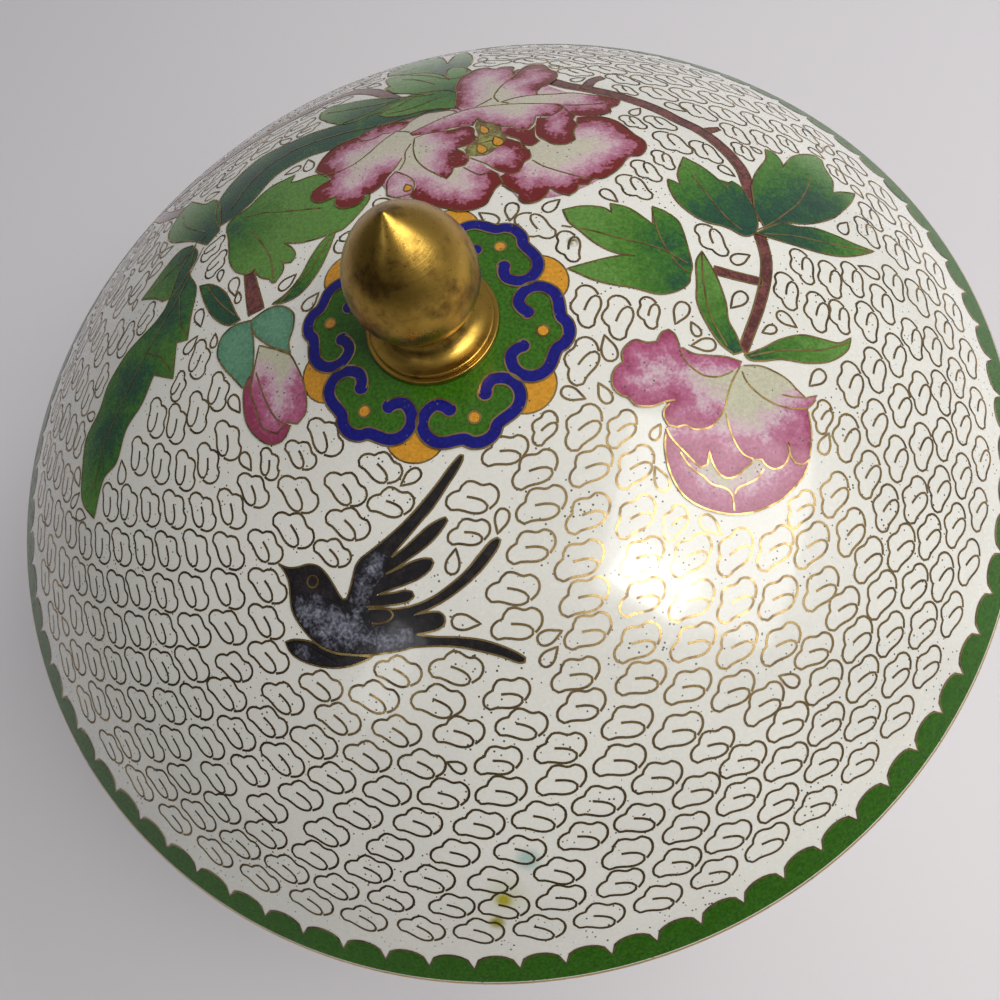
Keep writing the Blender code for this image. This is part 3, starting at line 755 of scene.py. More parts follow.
# A leaf is (outline, points of its dark base, start depth)
LEAVES = [
    ([(22.2, 93.3), (20.4, 97.3), (17, 101), (18, 106), (21.9, 107.5), (24.5, 112), (28, 112), (32, 110),
      (34, 106), (33.7, 98.4), (33.3, 94.4), (34.8, 97.7), (38.1, 103.9), (40.9, 106.2), (41.4, 100.7),
      (40.5, 94.1), (38.5, 88.1), (36.6, 85.4), (34.9, 79.2), (31.4, 78.9), (29.2, 81), (27.4, 84.9),
      (24.9, 89.3)],
     [(33, 88)], 2.0),
    ([(-5, 88), (-4, 91.5), (-1, 92), (2, 90), (7, 86.5), (11, 83), (15, 79), (20, 75.5), (14, 73),
      (8, 74), (1, 75), (-2, 79), (-4, 84)],
     [(20, 75), (8, 76)], 1.0),
    ([(-38, 60), (-38.5, 66), (-37, 72), (-33, 77), (-28, 80.5), (-22, 82.3), (-15, 81), (-8, 79.5),
      (-2, 77), (6, 76), (14, 77), (22, 76), (28, 72), (29.5, 67), (27.5, 62), (22, 62), (14, 64),
      (6, 65.3), (-3, 65), (-8, 66.5), (-10, 67.3), (-18, 67.5), (-22, 66), (-27, 62), (-32, 60)],
     [(-34, 64), (-26, 72), (-16, 75), (-4, 72), (10, 66), (24, 64)], -1.5),
    ([(16.1, 97.2), (17.2, 98.1), (20.1, 95.8), (22.5, 94.6), (25.5, 91.8), (28.1, 87.6), (29.7, 83),
      (29.9, 79.2), (30.5, 84.1), (31.8, 87.6), (33.4, 88.9), (35.1, 87.3), (36.3, 84), (36.4, 79.1),
      (34.7, 75), (31.5, 74.5), (30.4, 73.5), (29.4, 69.6), (28.7, 65.1), (26.9, 61.1), (24.8, 62.6),
      (22, 64.4), (19.1, 65.6), (16, 66.4), (13, 67.6), (10.8, 69.4), (9.1, 72.2), (11.4, 73.7),
      (13.9, 75.7), (16.6, 75.4), (19.2, 75.1), (21.9, 73.9), (24.3, 72.7), (21.5, 74.9), (18.4, 78.8),
      (15.4, 82.6), (14.9, 85.4), (14.2, 89), (15.7, 89.6), (15.6, 93.7)],
     [(28, 72)], 6.0),
    ([(-46, 62), (-53, 70), (-54, 76), (-52, 80), (-50, 83), (-46, 85), (-44, 81), (-41, 76), (-39, 75.5),
      (-37, 72), (-37, 64), (-38, 58), (-42, 56)],
     [(-42, 60)], 0.0),
    ([(-46, 60), (-50, 62), (-55, 60), (-60, 57), (-64, 55), (-61, 53), (-58, 49), (-57, 47.5),
      (-54, 46.5), (-49, 50), (-45, 55)],
     [(-46, 58)], 1.0),
    ([(-45, 60), (-48, 50), (-47, 43), (-50, 35), (-52, 29.5), (-55, 31), (-58, 22), (-63, 27), (-68, 22),
      (-74, 19), (-79, 13), (-84, 12), (-90, 5), (-93, 12), (-91, 20), (-88, 27), (-82, 31), (-78, 36),
      (-74, 38.5), (-70, 40.5), (-60, 42.5), (-56, 45), (-52, 52)],
     [(-45, 60), (-50, 50), (-56, 42), (-70, 30), (-80, 22)], 1.0),
    ([(-36, 56.6), (-35.3, 58.6), (-33.1, 59.6), (-30.5, 59.7), (-28.4, 60.2), (-25.2, 61.9), (-21.8, 63),
      (-17.8, 62.5), (-15.5, 62.3), (-17.1, 59.9), (-15.3, 58.9), (-13, 58.4), (-9.6, 56.6), (-5.9, 51),
      (-1, 41.8), (-2, 38.6), (-9.1, 34.1), (-12.6, 34.6), (-15.3, 35.1), (-19.3, 36.6), (-23.1, 39.4),
      (-22, 37.5), (-21.3, 35.1), (-21.6, 33.3), (-22.9, 32.4), (-24.5, 33.5), (-24.9, 34.7),
      (-24.7, 32.7), (-25.5, 30.9), (-26.4, 30.2), (-27.7, 29.3), (-28.4, 29.7), (-28.9, 31.3),
      (-30.3, 32.7), (-31.3, 34.9), (-31.3, 36.9), (-32.1, 36.6), (-33.3, 36.5), (-34.6, 37.6),
      (-36.2, 40), (-37, 44.4), (-36.4, 49), (-36, 53.5)],
     [(-36, 60), (-34, 54)], 6.0),
    ([(-46, 43), (-43, 41), (-40, 36), (-39, 31), (-38.5, 27), (-38, 25), (-41, 25.5), (-44, 30),
      (-45.5, 36)],
     [(-39, 27), (-42, 34)], 0.0),
    ([(-30, 24), (-26, 24.7), (-22, 27), (-18, 31), (-14, 34), (-11, 34.5), (-14, 30), (-18, 25.5),
      (-23, 22.5), (-27, 22.5)],
     [(-28, 23)], 4.0),
    ([(35, 15), (39, 14.5), (43, 12.5), (44.2, 10.5), (45, 13), (48, 10.5), (50, 6.5), (50.8, 4.5),
      (52, 7), (53, 9.3), (55, 7), (56.3, 4), (56, 1), (55, -3), (53.5, -8), (52, -10), (51, -11.5),
      (48, -12.5), (44, -12), (40, -9), (36, -6.5), (33, -4), (31, -1.5), (29.5, 0.3), (34, 0),
      (38, -0.3), (42, -1), (43.5, -1.8), (40, 0.5), (37.5, 4), (36, 8), (34.8, 11.5)],
     [(53, -7), (50, -11), (52, -1)], 5.0),
    ([(57.3, -5), (55, -7), (52.5, -12), (50.5, -16), (50, -21), (50.5, -26), (52, -29), (54, -29),
      (54.5, -25), (54.5, -22), (56, -18), (57, -13), (57.3, -9)],
     [(53, -29)], 4.0),
    ([(54, -29.7), (58, -29.5), (63, -28.7), (68, -29), (72, -31), (75, -32.5), (78.5, -32), (76, -34.5),
      (71, -35.8), (66, -35), (61, -32.8), (57, -32), (54.5, -31)],
     [(55, -30.5)], 4.5),
    ([(60, 16), (59, 13), (58.8, 9), (60, 5), (62, 2), (65, 0), (66.5, -1.5), (68, -3.5), (70, -3.8),
      (72.5, -2), (74.5, 2.5), (74.8, 5), (75, 10), (74, 12), (72.5, 11.5), (71.8, 10), (71, 13.5),
      (69.5, 18), (67, 22), (63, 17), (62, 13.5), (61, 15)],
     [(70, -3), (65, 1), (73, 3)], -0.5),
    ([(74.5, 2.5), (76, 6), (78, 10), (81, 13.5), (84, 16), (87, 18.5), (89, 22), (90.5, 20),
      (90.3, 16.5), (89.5, 15), (92, 17), (95, 19), (99, 20), (102, 19.7), (103.3, 18), (102, 15),
      (101, 10), (99, 7), (98.3, 6), (101, 6.2), (105, 5.8), (102, 3), (98, 0.5), (93, -2), (88, -3),
      (84, -3), (80, -2), (78.5, -1.7), (74, -3)],
     [(75, -1), (82, 0), (90, 2)], -0.5),
    ([(78.5, -2), (82, -3.5), (86, -4.5), (90, -7), (94, -10), (98, -12.3), (93, -13), (88, -12.8),
      (83, -11), (78, -8), (74, -5.5), (71, -3.5)],
     [(74, -3.5), (80, -6)], 0.5),
]
VEINS = [
    [(-29.9, 50.3), (-28.7, 46), (-27.6, 41.3), (-27.1, 36.6), (-27.9, 30.8)],
    [(-30.1, 56.6), (-25.3, 53.8), (-20.2, 49.6), (-12, 44)],
    [(33, 11), (38, 7.5), (42, 4), (49, -1.5), (53, -7)],
    [(52.5, 7.5), (51, 3), (50.5, -2), (51, -7), (52, -9)],
    [(57, -5.5), (54, -12), (51.5, -20), (51.5, -27)],
    [(55, -30.3), (62, -31), (70, -33), (77, -33)],
    [(70.5, -3), (75, -2), (80, 0), (86, 3), (91, 7), (95, 11)],
    [(66, 16), (66.3, 8), (67, 2), (68.5, -2)],
    [(73, -4), (80, -6), (88, -9.5), (97, -12.3)],
    [(-42, 62), (-48, 72), (-49, 80)],
    [(-42, 60), (-50, 57), (-61, 55)],
    [(-43, 56), (-52, 45), (-64, 35), (-82, 20), (-88, 12)],
    [(-52, 45), (-53, 36), (-52, 31)],
    [(-64, 35), (-60, 30), (-58, 24)],
    [(-34, 64), (-26, 72), (-16, 75), (-4, 72), (10, 66), (24, 64)],
    [(-4, 72), (4, 68.5), (10, 66)],
    [(19.8, 91.4), (21.9, 88.2), (24.3, 83.3), (26, 79.1)],
    [(-3, 89), (4, 83), (14, 77)],
    [(-44, 41), (-42, 34), (-39, 27)],
    [(-28, 23.3), (-20, 27), (-13, 33)],
    [(11, 71), (17, 69), (25, 70)],
]
# A stem is (centre line, width at its start, width at its end)
STEMS = [
    ([(46, 74), (54, 60), (58, 56), (64, 50), (70, 42), (73, 36), (76, 31), (78, 24), (78.5, 16),
      (77, 10), (75, 4), (73, 0)], 3.6, 2.6),
    ([(72, -3.5), (70, -10), (67, -15), (62, -21), (57, -26), (54, -29)], 2.5, 2.0),
    ([(58, 56), (62, 60), (65, 61)], 2.6, 2.2),
    ([(78, 30.5), (81.5, 31)], 2.4, 1.2),
    ([(57.5, -10), (61, -12.5), (66, -15.5)], 2.2, 2.0),
    ([(-62, 104), (-59.5, 98), (-57, 92), (-53, 87), (-49, 83)], 4.6, 3.6),
    ([(-61, 103), (-45, 102.5), (-25, 101.5), (-8, 100), (5, 98.5), (11, 90), (15, 78)], 4.2, 3.2),
    ([(-33, 37.5), (-33.5, 31), (-34, 24.5)], 2.6, 4.2),
]
# A stamen's drop is (middle, width, length)
STAMENS = [((29.3, 48.2), 2.0, 4.0), ((26.3, 41.4), 2.3, 4.0), ((30.5, 42.2), 2.5, 4.0),
           ((7.3, 37.5), 2.0, 2.4)]


def stem_outline(line, start, end):
    """The closed outline of a stem that grows thinner along its centre line."""
    curve = numpy.array(smooth_line(line, 1.2))
    along = numpy.gradient(curve, axis=0)
    along /= numpy.linalg.norm(along, axis=1)[:, None]
    half = numpy.linspace(0.5 * start, 0.5 * end, len(curve))[:, None]
    side = numpy.stack([-along[:, 1], along[:, 0]], axis=1) * half
    left, right = curve + side, curve - side
    return [tuple(point) for point in numpy.concatenate([left, right[::-1], left[:1]])]


def drop_outline(middle, width, length, tilt=0.5 * math.pi):
    """A closed drop: round at one end, and drawn out to a point at the far end of its tilt."""
    half = [(-0.5, 0.0), (-0.46, 0.52), (-0.34, 0.88), (-0.15, 1.0)]
    half += [(0.05, 0.86), (0.25, 0.48), (0.4, 0.2), (0.5, 0.0)]
    side = [(run * length, 0.5 * width * share) for run, share in half]
    points = []
    for run, across in side + [(run, -across) for run, across in side[-2::-1]]:
        points.append((middle[0] + run * math.cos(tilt) - across * math.sin(tilt),
                       middle[1] + run * math.sin(tilt) + across * math.cos(tilt)))
    return points


def single_lines(lines, near=0.85, shortest=1.6):
    """The lines without the stretches that run on an earlier line, so that two cells share one wire."""
    kept, taken = [], numpy.zeros((0, 2))
    for line in lines:
        points = numpy.array(line)
        if len(taken):
            away = points[:, None, :] - taken[None, :, :]
            free = numpy.sqrt((away**2).sum(axis=2)).min(axis=1) > near
        else:
            free = numpy.full(len(points), True)
        run = []
        for number in range(len(points)):
            if free[number]:
                if not run and number:
                    run.append(number - 1)
                run.append(number)
            elif run:
                run.append(number)
                kept.append([tuple(points[k]) for k in run])
                run = []
        if run:
            kept.append([tuple(points[k]) for k in run])
        taken = numpy.concatenate([taken, points])
    return [line for line in kept if sum(math.dist(a, b) for a, b in zip(line, line[1:])) > shortest]


def across_notches(line, span=8):
    """The line laid straight across its own notches, so that a frill is coloured deeper at its tips than
    between them. A notch spans at most so many points to each side."""
    points = numpy.array(line)
    laid = points.copy()
    for number in range(len(points)):
        furthest = 0.0
        for before in range(max(number - span, 0), number):
            for after in range(number + 1, min(number + span, len(points) - 1) + 1):
                chord = points[after] - points[before]
                side = numpy.array((chord[1], -chord[0])) / max(numpy.hypot(*chord), 0.001)
                for way in (side, -side):
                    reach_out = float((points[before] - points[number]) @ way)
                    outside = float((points[before] - points.mean(axis=0)) @ way) > 0.0
                    if outside and reach_out > furthest:
                        furthest = reach_out
                        laid[number] = points[number] + way * reach_out
    return [tuple(place) for place in laid]


def flower_cells(petals):
    """Cells and outlines of a flower's petals."""
    cells, outlines = [], []
    for rim, inner, start in petals:
        outline = smooth_line(rim + inner, closed=True)
        cells.append((outline, across_notches(smooth_line(rim)) if inner else None, start))
        outlines.append(outline)
    return cells, outlines


petal_stops = [
    (0.0, (0.150, 0.007, 0.004)), (2.7, (0.165, 0.009, 0.007)), (3.2, (0.35, 0.095, 0.150)),
    (5.0, (0.47, 0.205, 0.300)), (7.4, (0.60, 0.43, 0.47)), (10.4, (0.56, 0.53, 0.42)),
]
pink_stops = [
    (0.0, (0.28, 0.042, 0.095)), (1.6, (0.36, 0.070, 0.150)), (4.2, (0.45, 0.140, 0.250)),
    (6.8, (0.60, 0.41, 0.48)), (9.6, (0.53, 0.52, 0.38)),
]
leaf_stops = [
    (0.0, (0.012, 0.060, 0.034)), (5.0, (0.016, 0.080, 0.032)), (9.0, (0.034, 0.135, 0.017)),
    (15.0, (0.066, 0.190, 0.020)), (22.0, (0.105, 0.245, 0.042)),
]
stem_stops = [(0.0, (0.095, 0.022, 0.020)), (1.6, (0.17, 0.042, 0.036))]
calyx_stops = [(0.0, (0.085, 0.235, 0.14)), (3.0, (0.125, 0.30, 0.185))]
heart_stops = [(0.0, (0.16, 0.10, 0.03)), (2.5, (0.30, 0.31, 0.07))]
petal_enamel = enamel("petal_enamel", petal_stops, spread=1.0, gloss=0.40)
pink_enamel = enamel("pink_enamel", pink_stops, spread=1.2, gloss=0.40)
leaf_enamel = enamel("leaf_enamel", leaf_stops, spread=2.4, grain=0.22, gloss=0.35)
stem_enamel = enamel("stem_enamel", stem_stops, grain=0.3)
calyx_enamel = enamel("calyx_enamel", calyx_stops, grain=0.15)
heart_enamel = enamel("heart_enamel", heart_stops, grain=0.2)

upper_cells, upper_outlines = flower_cells(UPPER_PEONY)
lower_cells = []
for outline, rim, start in LOWER_PEONY:
    lower_cells.append((smooth_line(outline, closed=True), smooth_line(rim), start))
lower_lines = [smooth_line(line) for line in LOWER_LINES]
bud_cells, bud_outlines = flower_cells(BUD)
upper_back = (smooth_line(UPPER_BACKING, 1.0, closed=True), None, 5.0)
leaf_cells = [(smooth_line(outline, 0.8, closed=True), base, start) for outline, base, start in LEAVES]
leaf_outlines = [cell[0] for cell in leaf_cells]
stem_outlines = [stem_outline(*stem) for stem in STEMS]
stem_cells = plain_cells(stem_outlines)
calyx_outlines = [smooth_line(outline, closed=True) for outline in BUD_CALYX]
calyx_cells = plain_cells(calyx_outlines)
heart_outline = smooth_line(UPPER_HEART, closed=True)
stamen_outlines = [drop_outline(middle, width, length) for middle, width, length in STAMENS]
fine_lines = [smooth_line(line) for line in UPPER_FINE_LINES]
flower_wires = single_lines(upper_outlines[::-1] + lower_lines + bud_outlines[::-1] + fine_lines)
vein_lines = [smooth_line(line, 0.8) for line in VEINS]
leaf_wires = single_lines(leaf_outlines[::-1] + vein_lines, 0.5)
lid_flora = [
    patches("lid_stems", stem_cells, lid_surface, 0.03, stem_enamel),
    strips("lid_stem_wires", stem_outlines, lid_surface, FINE_WIRE, 0.075, fine_wires),
    patches("lid_leaves", leaf_cells, lid_surface, 0.08, leaf_enamel),
    strips("lid_leaf_wires", leaf_wires, lid_surface, FINE_WIRE, 0.175, fine_wires),
    patches("lid_calyx", calyx_cells, lid_surface, 0.16, calyx_enamel),
    patches("lid_upper_peony", [upper_back] + upper_cells, lid_surface, 0.18, petal_enamel),
    patches("lid_lower_peony", lower_cells, lid_surface, 0.18, pink_enamel),
    patches("lid_bud", bud_cells, lid_surface, 0.18, pink_enamel),
    patches("lid_peony_heart", plain_cells([heart_outline]), lid_surface, 0.25, heart_enamel),
    strips("lid_flower_wires", flower_wires + calyx_outlines, lid_surface, FINE_WIRE, 0.27, fine_wires),
    patches("lid_stamens", plain_cells(stamen_outlines), lid_surface, 0.28, amber),
    strips("lid_stamen_wires", stamen_outlines, lid_surface, FINE_WIRE, 0.30, fine_wires),
]
for thing in lid_flora:
    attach(thing, "root")

# Swallow
# A flying swallow in black enamel, with a breast and back of grey-lavender grains, outlined and
# feathered in wire like the flowers.
BREAST_LINE = [(-47.2, -30.4), (-46.6, -32.4), (-46.6, -34.8), (-47.4, -37.2), (-48.1, -39.7),
               (-47.9, -42.2), (-47.1, -44.9), (-46.2, -47.1), (-45.1, -48.9), (-43.2, -50.7),
               (-40.5, -52.3), (-37.4, -53.8), (-34.2, -54.9), (-31, -55.8), (-28.3, -56.3)]
NECK_LINE = [(-47.2, -30.4), (-45.6, -32), (-43.6, -32.9), (-41.4, -33.4), (-39.6, -34.7), (-38.6, -36.7),
             (-38.1, -39), (-37.7, -41.6), (-37.4, -42.6), (-36.6, -42.8), (-35.4, -41.6), (-33.8, -39.7),
             (-32.3, -38), (-30.9, -37.3), (-28.8, -36.9), (-27.2, -36.6), (-24.4, -36), (-20.7, -35),
             (-16.3, -33.3), (-11.9, -31.2), (-8.1, -29.1), (-5.5, -27.9)]
FEATHER_LINES = [
    [(-5.5, -27.9), (-4.9, -28.2), (-5.4, -29.1), (-7.3, -30.6), (-9.8, -32.2), (-12.3, -33.8),
     (-15, -35.3), (-17.7, -36.4), (-20.3, -37.6), (-23, -38.7), (-25.3, -39.8)],
    [(-25.3, -39.8), (-22.5, -39.3), (-19.3, -38.4), (-16.4, -37.6), (-14.2, -37.4), (-12.7, -37.5),
     (-12.6, -38.3), (-14, -39.2), (-16.6, -40.4), (-19.4, -41.1), (-22.5, -41.6), (-25.2, -42),
     (-27.6, -42.1)],
    [(-27.6, -42.1), (-24.6, -42.2), (-22.1, -42.2), (-19.7, -42.6), (-18.3, -43.3), (-18.2, -44.2),
     (-19.4, -45.1), (-21.8, -45.6), (-24.6, -45.5), (-27.4, -45.2), (-30.4, -44.9)],
    [(-30.4, -44.9), (-27.7, -45.8), (-25.4, -46.4), (-24.2, -47.2), (-24.2, -48.1), (-25.3, -48.5),
     (-27.4, -48.2), (-29.9, -47.4), (-33.6, -45.9)],
    [(-33.5, -46.4), (-31.3, -47.3), (-29.6, -48.4), (-29.4, -49.5), (-30.4, -50), (-32.5, -49.7),
     (-34, -49)],
    [(-33, -46.1), (-28.9, -48.4), (-25.1, -49.5), (-20.9, -49.7), (-17.1, -49.1), (-13.1, -48),
     (-9.5, -46.3), (-6.5, -45), (-5.3, -45), (-4.9, -45.6), (-5.8, -46.6), (-8.3, -48.1), (-11.7, -49.6),
     (-15.7, -50.7), (-19.5, -51.3), (-22.7, -51.4), (-25.2, -51.2)],
    [(-25.2, -51.2), (-22.6, -51.9), (-20.9, -52.7), (-20.4, -53.9), (-20.9, -55), (-22.5, -55.4),
     (-24.8, -55), (-26.7, -54.5)],
    [(-26.7, -54.5), (-23.4, -56.4), (-19.3, -58.3), (-15.5, -60.5), (-12.5, -63), (-10.5, -65.1),
     (-9.6, -66.4), (-10.1, -67.1), (-11.2, -66.7), (-13.4, -64.7), (-16.4, -62.4), (-20.1, -59.9),
     (-24.1, -57.9), (-28.3, -56.3)],
]
FAR_WING = [(-52, -44.4), (-51.9, -46.3), (-51.1, -48), (-49.5, -49.8), (-47.2, -51.6), (-44.1, -53.3),
            (-40.7, -54.3), (-37.8, -54.6), (-36.3, -54.6), (-39.3, -52.9), (-42.3, -51.2),
            (-44.5, -49.4), (-46.3, -47.2), (-48.3, -45.7), (-50.3, -44.7)]
SWALLOW_GREY = [(-46.2, -37.8), (-43.2, -38.2), (-41, -40.3), (-39, -42.7), (-37.4, -44.1),
                (-34.8, -41.9), (-33.5, -39.8), (-31.9, -37.9), (-29.7, -37.2), (-27.3, -37.7),
                (-25.9, -39.4), (-27.7, -41.9), (-30.6, -43.3), (-33, -46.1), (-34.4, -49.1),
                (-30.3, -51.4), (-26.9, -53.2), (-27.5, -55.3), (-29.6, -55.9), (-34.1, -54.6),
                (-38.5, -52.9), (-42.2, -50.9), (-44.9, -48.5), (-46.6, -45.5), (-47.5, -42.4),
                (-47.5, -39.6)]
FAR_WING_GREY = [(-51.8, -45.2), (-50.9, -47.6), (-48.8, -49.9), (-45.8, -52), (-43.2, -53),
                 (-45.1, -50.6), (-47.6, -47.6), (-49.8, -45.4)]
# The point that closes each feather's cell, under the wing
FEATHER_ROOTS = [(-30, -42), (-32, -43), (-34, -46), (-35, -47.5), (-33, -50), (-30, -53), (-31, -55.4)]
BODY_CLOSE = [(-26.7, -54.5), (-28.5, -50), (-33, -47), (-36.5, -43.4)]
WING_ROOT_CLOSE = [(-24.8, -38), (-26, -40.5), (-27.6, -42.1), (-29, -43), (-31, -45), (-33, -46.1),
                   (-31, -47.8), (-28.5, -49), (-25.6, -51), (-26.5, -54), (-30, -54.5), (-35, -50),
                   (-38, -46)]
EYE_MIDDLE, EYE_RADIUS = (-41.8, -36.8), 1.15
black_stops = [(0.0, (0.006, 0.0045, 0.005)), (4.0, (0.022, 0.014, 0.016))]
lavender_stops = [
    (0.0, (0.010, 0.009, 0.011)), (1.0, (0.030, 0.030, 0.040)),
    (2.6, (0.10, 0.10, 0.13)), (4.6, (0.19, 0.20, 0.25)),
]
swallow_black = enamel("swallow_black_enamel", black_stops, pits=0.3, grain=0.4)
swallow_lavender = enamel("swallow_lavender_enamel", lavender_stops, spread=1.7, pits=0.5, grain=0.5)
swallow_body = smooth_line(BREAST_LINE + BODY_CLOSE + NECK_LINE[8::-1], closed=True)
wing_root = smooth_line(NECK_LINE[8:16] + WING_ROOT_CLOSE, closed=True)
upper_wing = smooth_line(NECK_LINE[13:] + FEATHER_LINES[0] + [(-29, -43), (-31, -40)], closed=True)
far_wing = smooth_line(FAR_WING, closed=True)
swallow_outlines = [far_wing, swallow_body, wing_root, upper_wing]
for line, root in zip(FEATHER_LINES[1:], FEATHER_ROOTS):
    swallow_outlines.append(smooth_line(line + [root], closed=True))
grey_shapes = [smooth_line(outline, closed=True) for outline in (SWALLOW_GREY, FAR_WING_GREY)]
swallow_wires = [smooth_line(line) for line in [BREAST_LINE, NECK_LINE] + FEATHER_LINES]
swallow_wires += [far_wing, circle(EYE_RADIUS, 16, EYE_MIDDLE)]
lid_swallow = [
    patches("lid_swallow", plain_cells(swallow_outlines), lid_surface, 0.05, swallow_black),
    patches("lid_swallow_breast", plain_cells(grey_shapes), lid_surface, 0.14, swallow_lavender, grid=1.0),
    strips("lid_swallow_wires", swallow_wires, lid_surface, FINE_WIRE, 0.17, fine_wires),
]
for thing in lid_swallow:
    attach(thing, "root")

# Cloud ground of the lid
# The white ground is filled with small curled cloud wires in staggered rings, which hold the enamel. Near a
# flower or the border a smaller cloud or a drop of wire takes the place of a whole one.
CLOUD = [(-1.0, 0.37), (0.8, -0.25), (2.2, -1.1), (2.75, -1.95), (2.4, -2.8), (1.0, -3.2), (-0.6, -2.9),
         (-1.9, -2.3), (-3.1, -1.85), (-4.5, -1.65), (-5.2, -0.6), (-4.8, 0.85), (-3.5, 1.65),
         (-2.3, 1.8), (-1.7, 2.6), (-0.6, 3.3), (0.8, 3.1), (2.0, 2.3), (2.6, 2.1), (3.8, 2.15),
         (5.0, 1.1), (5.2, -0.25), (4.5, -1.65), (3.0, -2.65)]
CLOUD_PITCH, CLOUD_ROW, CLOUD_ROWS, CLOUD_WIRE = 12.0, 6.2, 18, 0.50
FIRST_ROW_RUN, FIRST_CLOUD_TURN = 124.0, -68.9
LID_ROW_SEED, LID_CLOUD_SEED = 3, 7
MAP_EDGE, COLLAR_CLEAR = 130.0, 1.13


class GroundMap:
    """Which places of a drawing are taken, on a grid of half millimetres."""

    def __init__(self, low, high, grid=0.5):
        self.low, self.grid = low, grid
        shape = [int((high[axis] - low[axis]) / grid) + 1 for axis in (0, 1)]
        self.cells = numpy.zeros(shape, dtype=bool)

    def index(self, points):
        """The cells of some points, kept inside the map."""
        found = ((numpy.array(points) - self.low) / self.grid).round().astype(int)
        return numpy.clip(found, 0, numpy.array(self.cells.shape) - 1)

    def fill(self, outline):
        """Marks the inside of a closed outline and the outline itself."""
        corners = numpy.array(outline)
        first, last = self.index([corners.min(axis=0), corners.max(axis=0)])
        xs = (numpy.arange(first[0], last[0] + 1) * self.grid + self.low[0])[:, None]
        ys = (numpy.arange(first[1], last[1] + 1) * self.grid + self.low[1])[None, :]
        inside = numpy.zeros((xs.shape[0], ys.shape[1]), dtype=bool)
        for (ax, ay), (bx, by) in zip(corners, numpy.roll(corners, -1, axis=0)):
            if ay != by:
                crosses = (ay > ys) != (by > ys)
                inside ^= crosses & (xs < (bx - ax) * (ys - ay) / (by - ay) + ax)
        self.cells[first[0] : last[0] + 1, first[1] : last[1] + 1] |= inside
        found = self.index(outline)
        self.cells[found[:, 0], found[:, 1]] = True

    def grow(self, steps):
        """Widens what is taken by a number of cells."""
        for _ in range(steps):
            wider = self.cells.copy()
            for axis in (0, 1):
                for shift in (-1, 1):
                    wider |= numpy.roll(self.cells, shift, axis=axis)
            self.cells = wider

    def taken(self, points):
        """How many of the points lie on taken places."""
        found = self.index(points)
        return int(self.cells[found[:, 0], found[:, 1]].sum())


def placed(shape, spot, size, turn, shift=(0.0, 0.0)):
    """A small shape set down on a drawing at (middle, along, up)."""
    middle, along, up = spot
    cosine, sine = math.cos(turn) * size, math.sin(turn) * size
    points = []
    for x, y in shape:
        run, rise = x * cosine - y * sine + shift[0], x * sine + y * cosine + shift[1]
        points.append((middle[0] + along[0] * run + up[0] * rise, middle[1] + along[1] * run + up[1] * rise))
    return points


def nested_rows(first_turn, counts, dice):
    """Angles of the clouds, row by row. Each row sits in the gaps of the one before. Where a row is
    shorter, single clouds are left out and their neighbours close up."""
    rows = [[first_turn + math.tau * number / counts[0] for number in range(counts[0])]]
    for count in counts[1:]:
        last = rows[-1]
        angles = [0.5 * (a + b) for a, b in zip(last, last[1:] + [last[0] + math.tau])]
        spare = len(angles) - count
        start = dice.uniform(0.0, len(angles))
        steps = [len(angles) * (k + dice.uniform(-0.2, 0.2)) / spare for k in range(spare)]
        gone = {int(start + step) % len(angles) for step in steps}
        angles = [angle for number, angle in enumerate(angles) if number not in gone]
        for _ in range(8):
            before = [angles[-1] - math.tau] + angles[:-1]
            after = angles[1:] + [angles[0] + math.tau]
            angles = [0.5 * b + 0.25 * (a + c) for a, b, c in zip(before, angles, after)]
        rows.append(angles)
    return rows


def cloud_ground(spots, ground, seed):
    """Lines of the clouds and drops for some spots, clear of the taken places and of each other."""
    dice = random.Random(seed)
    cloud = smooth_line(CLOUD, 1.35, corner=80.0)
    drop = smooth_line(drop_outline((0.0, 0.0), 2.9, 5.4, tilt=0.0), 0.8, closed=True)
    small_drop = smooth_line(drop_outline((0.0, 0.0), 2.1, 3.8, tilt=0.0), 0.8, closed=True)
    high = [low + cells * ground.grid for low, cells in zip(ground.low, ground.cells.shape)]
    busy = GroundMap(ground.low, high)
    lines, late = [], []
    for spot in spots:
        size, turn = dice.uniform(0.93, 1.01), math.radians(dice.uniform(-7.0, 7.0))
        line = placed(cloud, spot, size, turn, (dice.uniform(-0.3, 0.3), dice.uniform(-0.2, 0.2)))
        if ground.taken(line) or ground.taken([spot[0]]) or busy.taken(line) > 1 or dice.random() < 0.01:
            late.append(spot)
        else:
            lines.append(line)
            busy.fill(line)
    tries = [
        ((dx, dy), size)
        for size in (0.9, 0.8, 0.7)
        for dy in (0.0, 0.8, -0.8, 1.6, -1.6)
        for dx in (0.0, 1.0, -1.0, 2.0, -2.0, 3.2, -3.2)
    ]
    for spot in late:
        for shift, size in tries:
            line = placed(cloud, spot, size, math.radians(dice.uniform(-14.0, 14.0)), shift)
            if not ground.taken(line) and not ground.taken([spot[0]]) and not busy.taken(line):
                lines.append(line)
                busy.fill(line)
                break
    for shape, number in ((drop, 40), (small_drop, 5)):
        for spot in late:
            for _ in range(number):
                shift = (dice.uniform(-6.0, 6.0), dice.uniform(-3.2, 3.2))
                line = placed(shape, spot, dice.uniform(0.85, 1.1), dice.uniform(0.0, math.tau), shift)
                if not ground.taken(line) and not busy.taken(line):
                    lines.append(line)
                    busy.fill(line)
    return lines


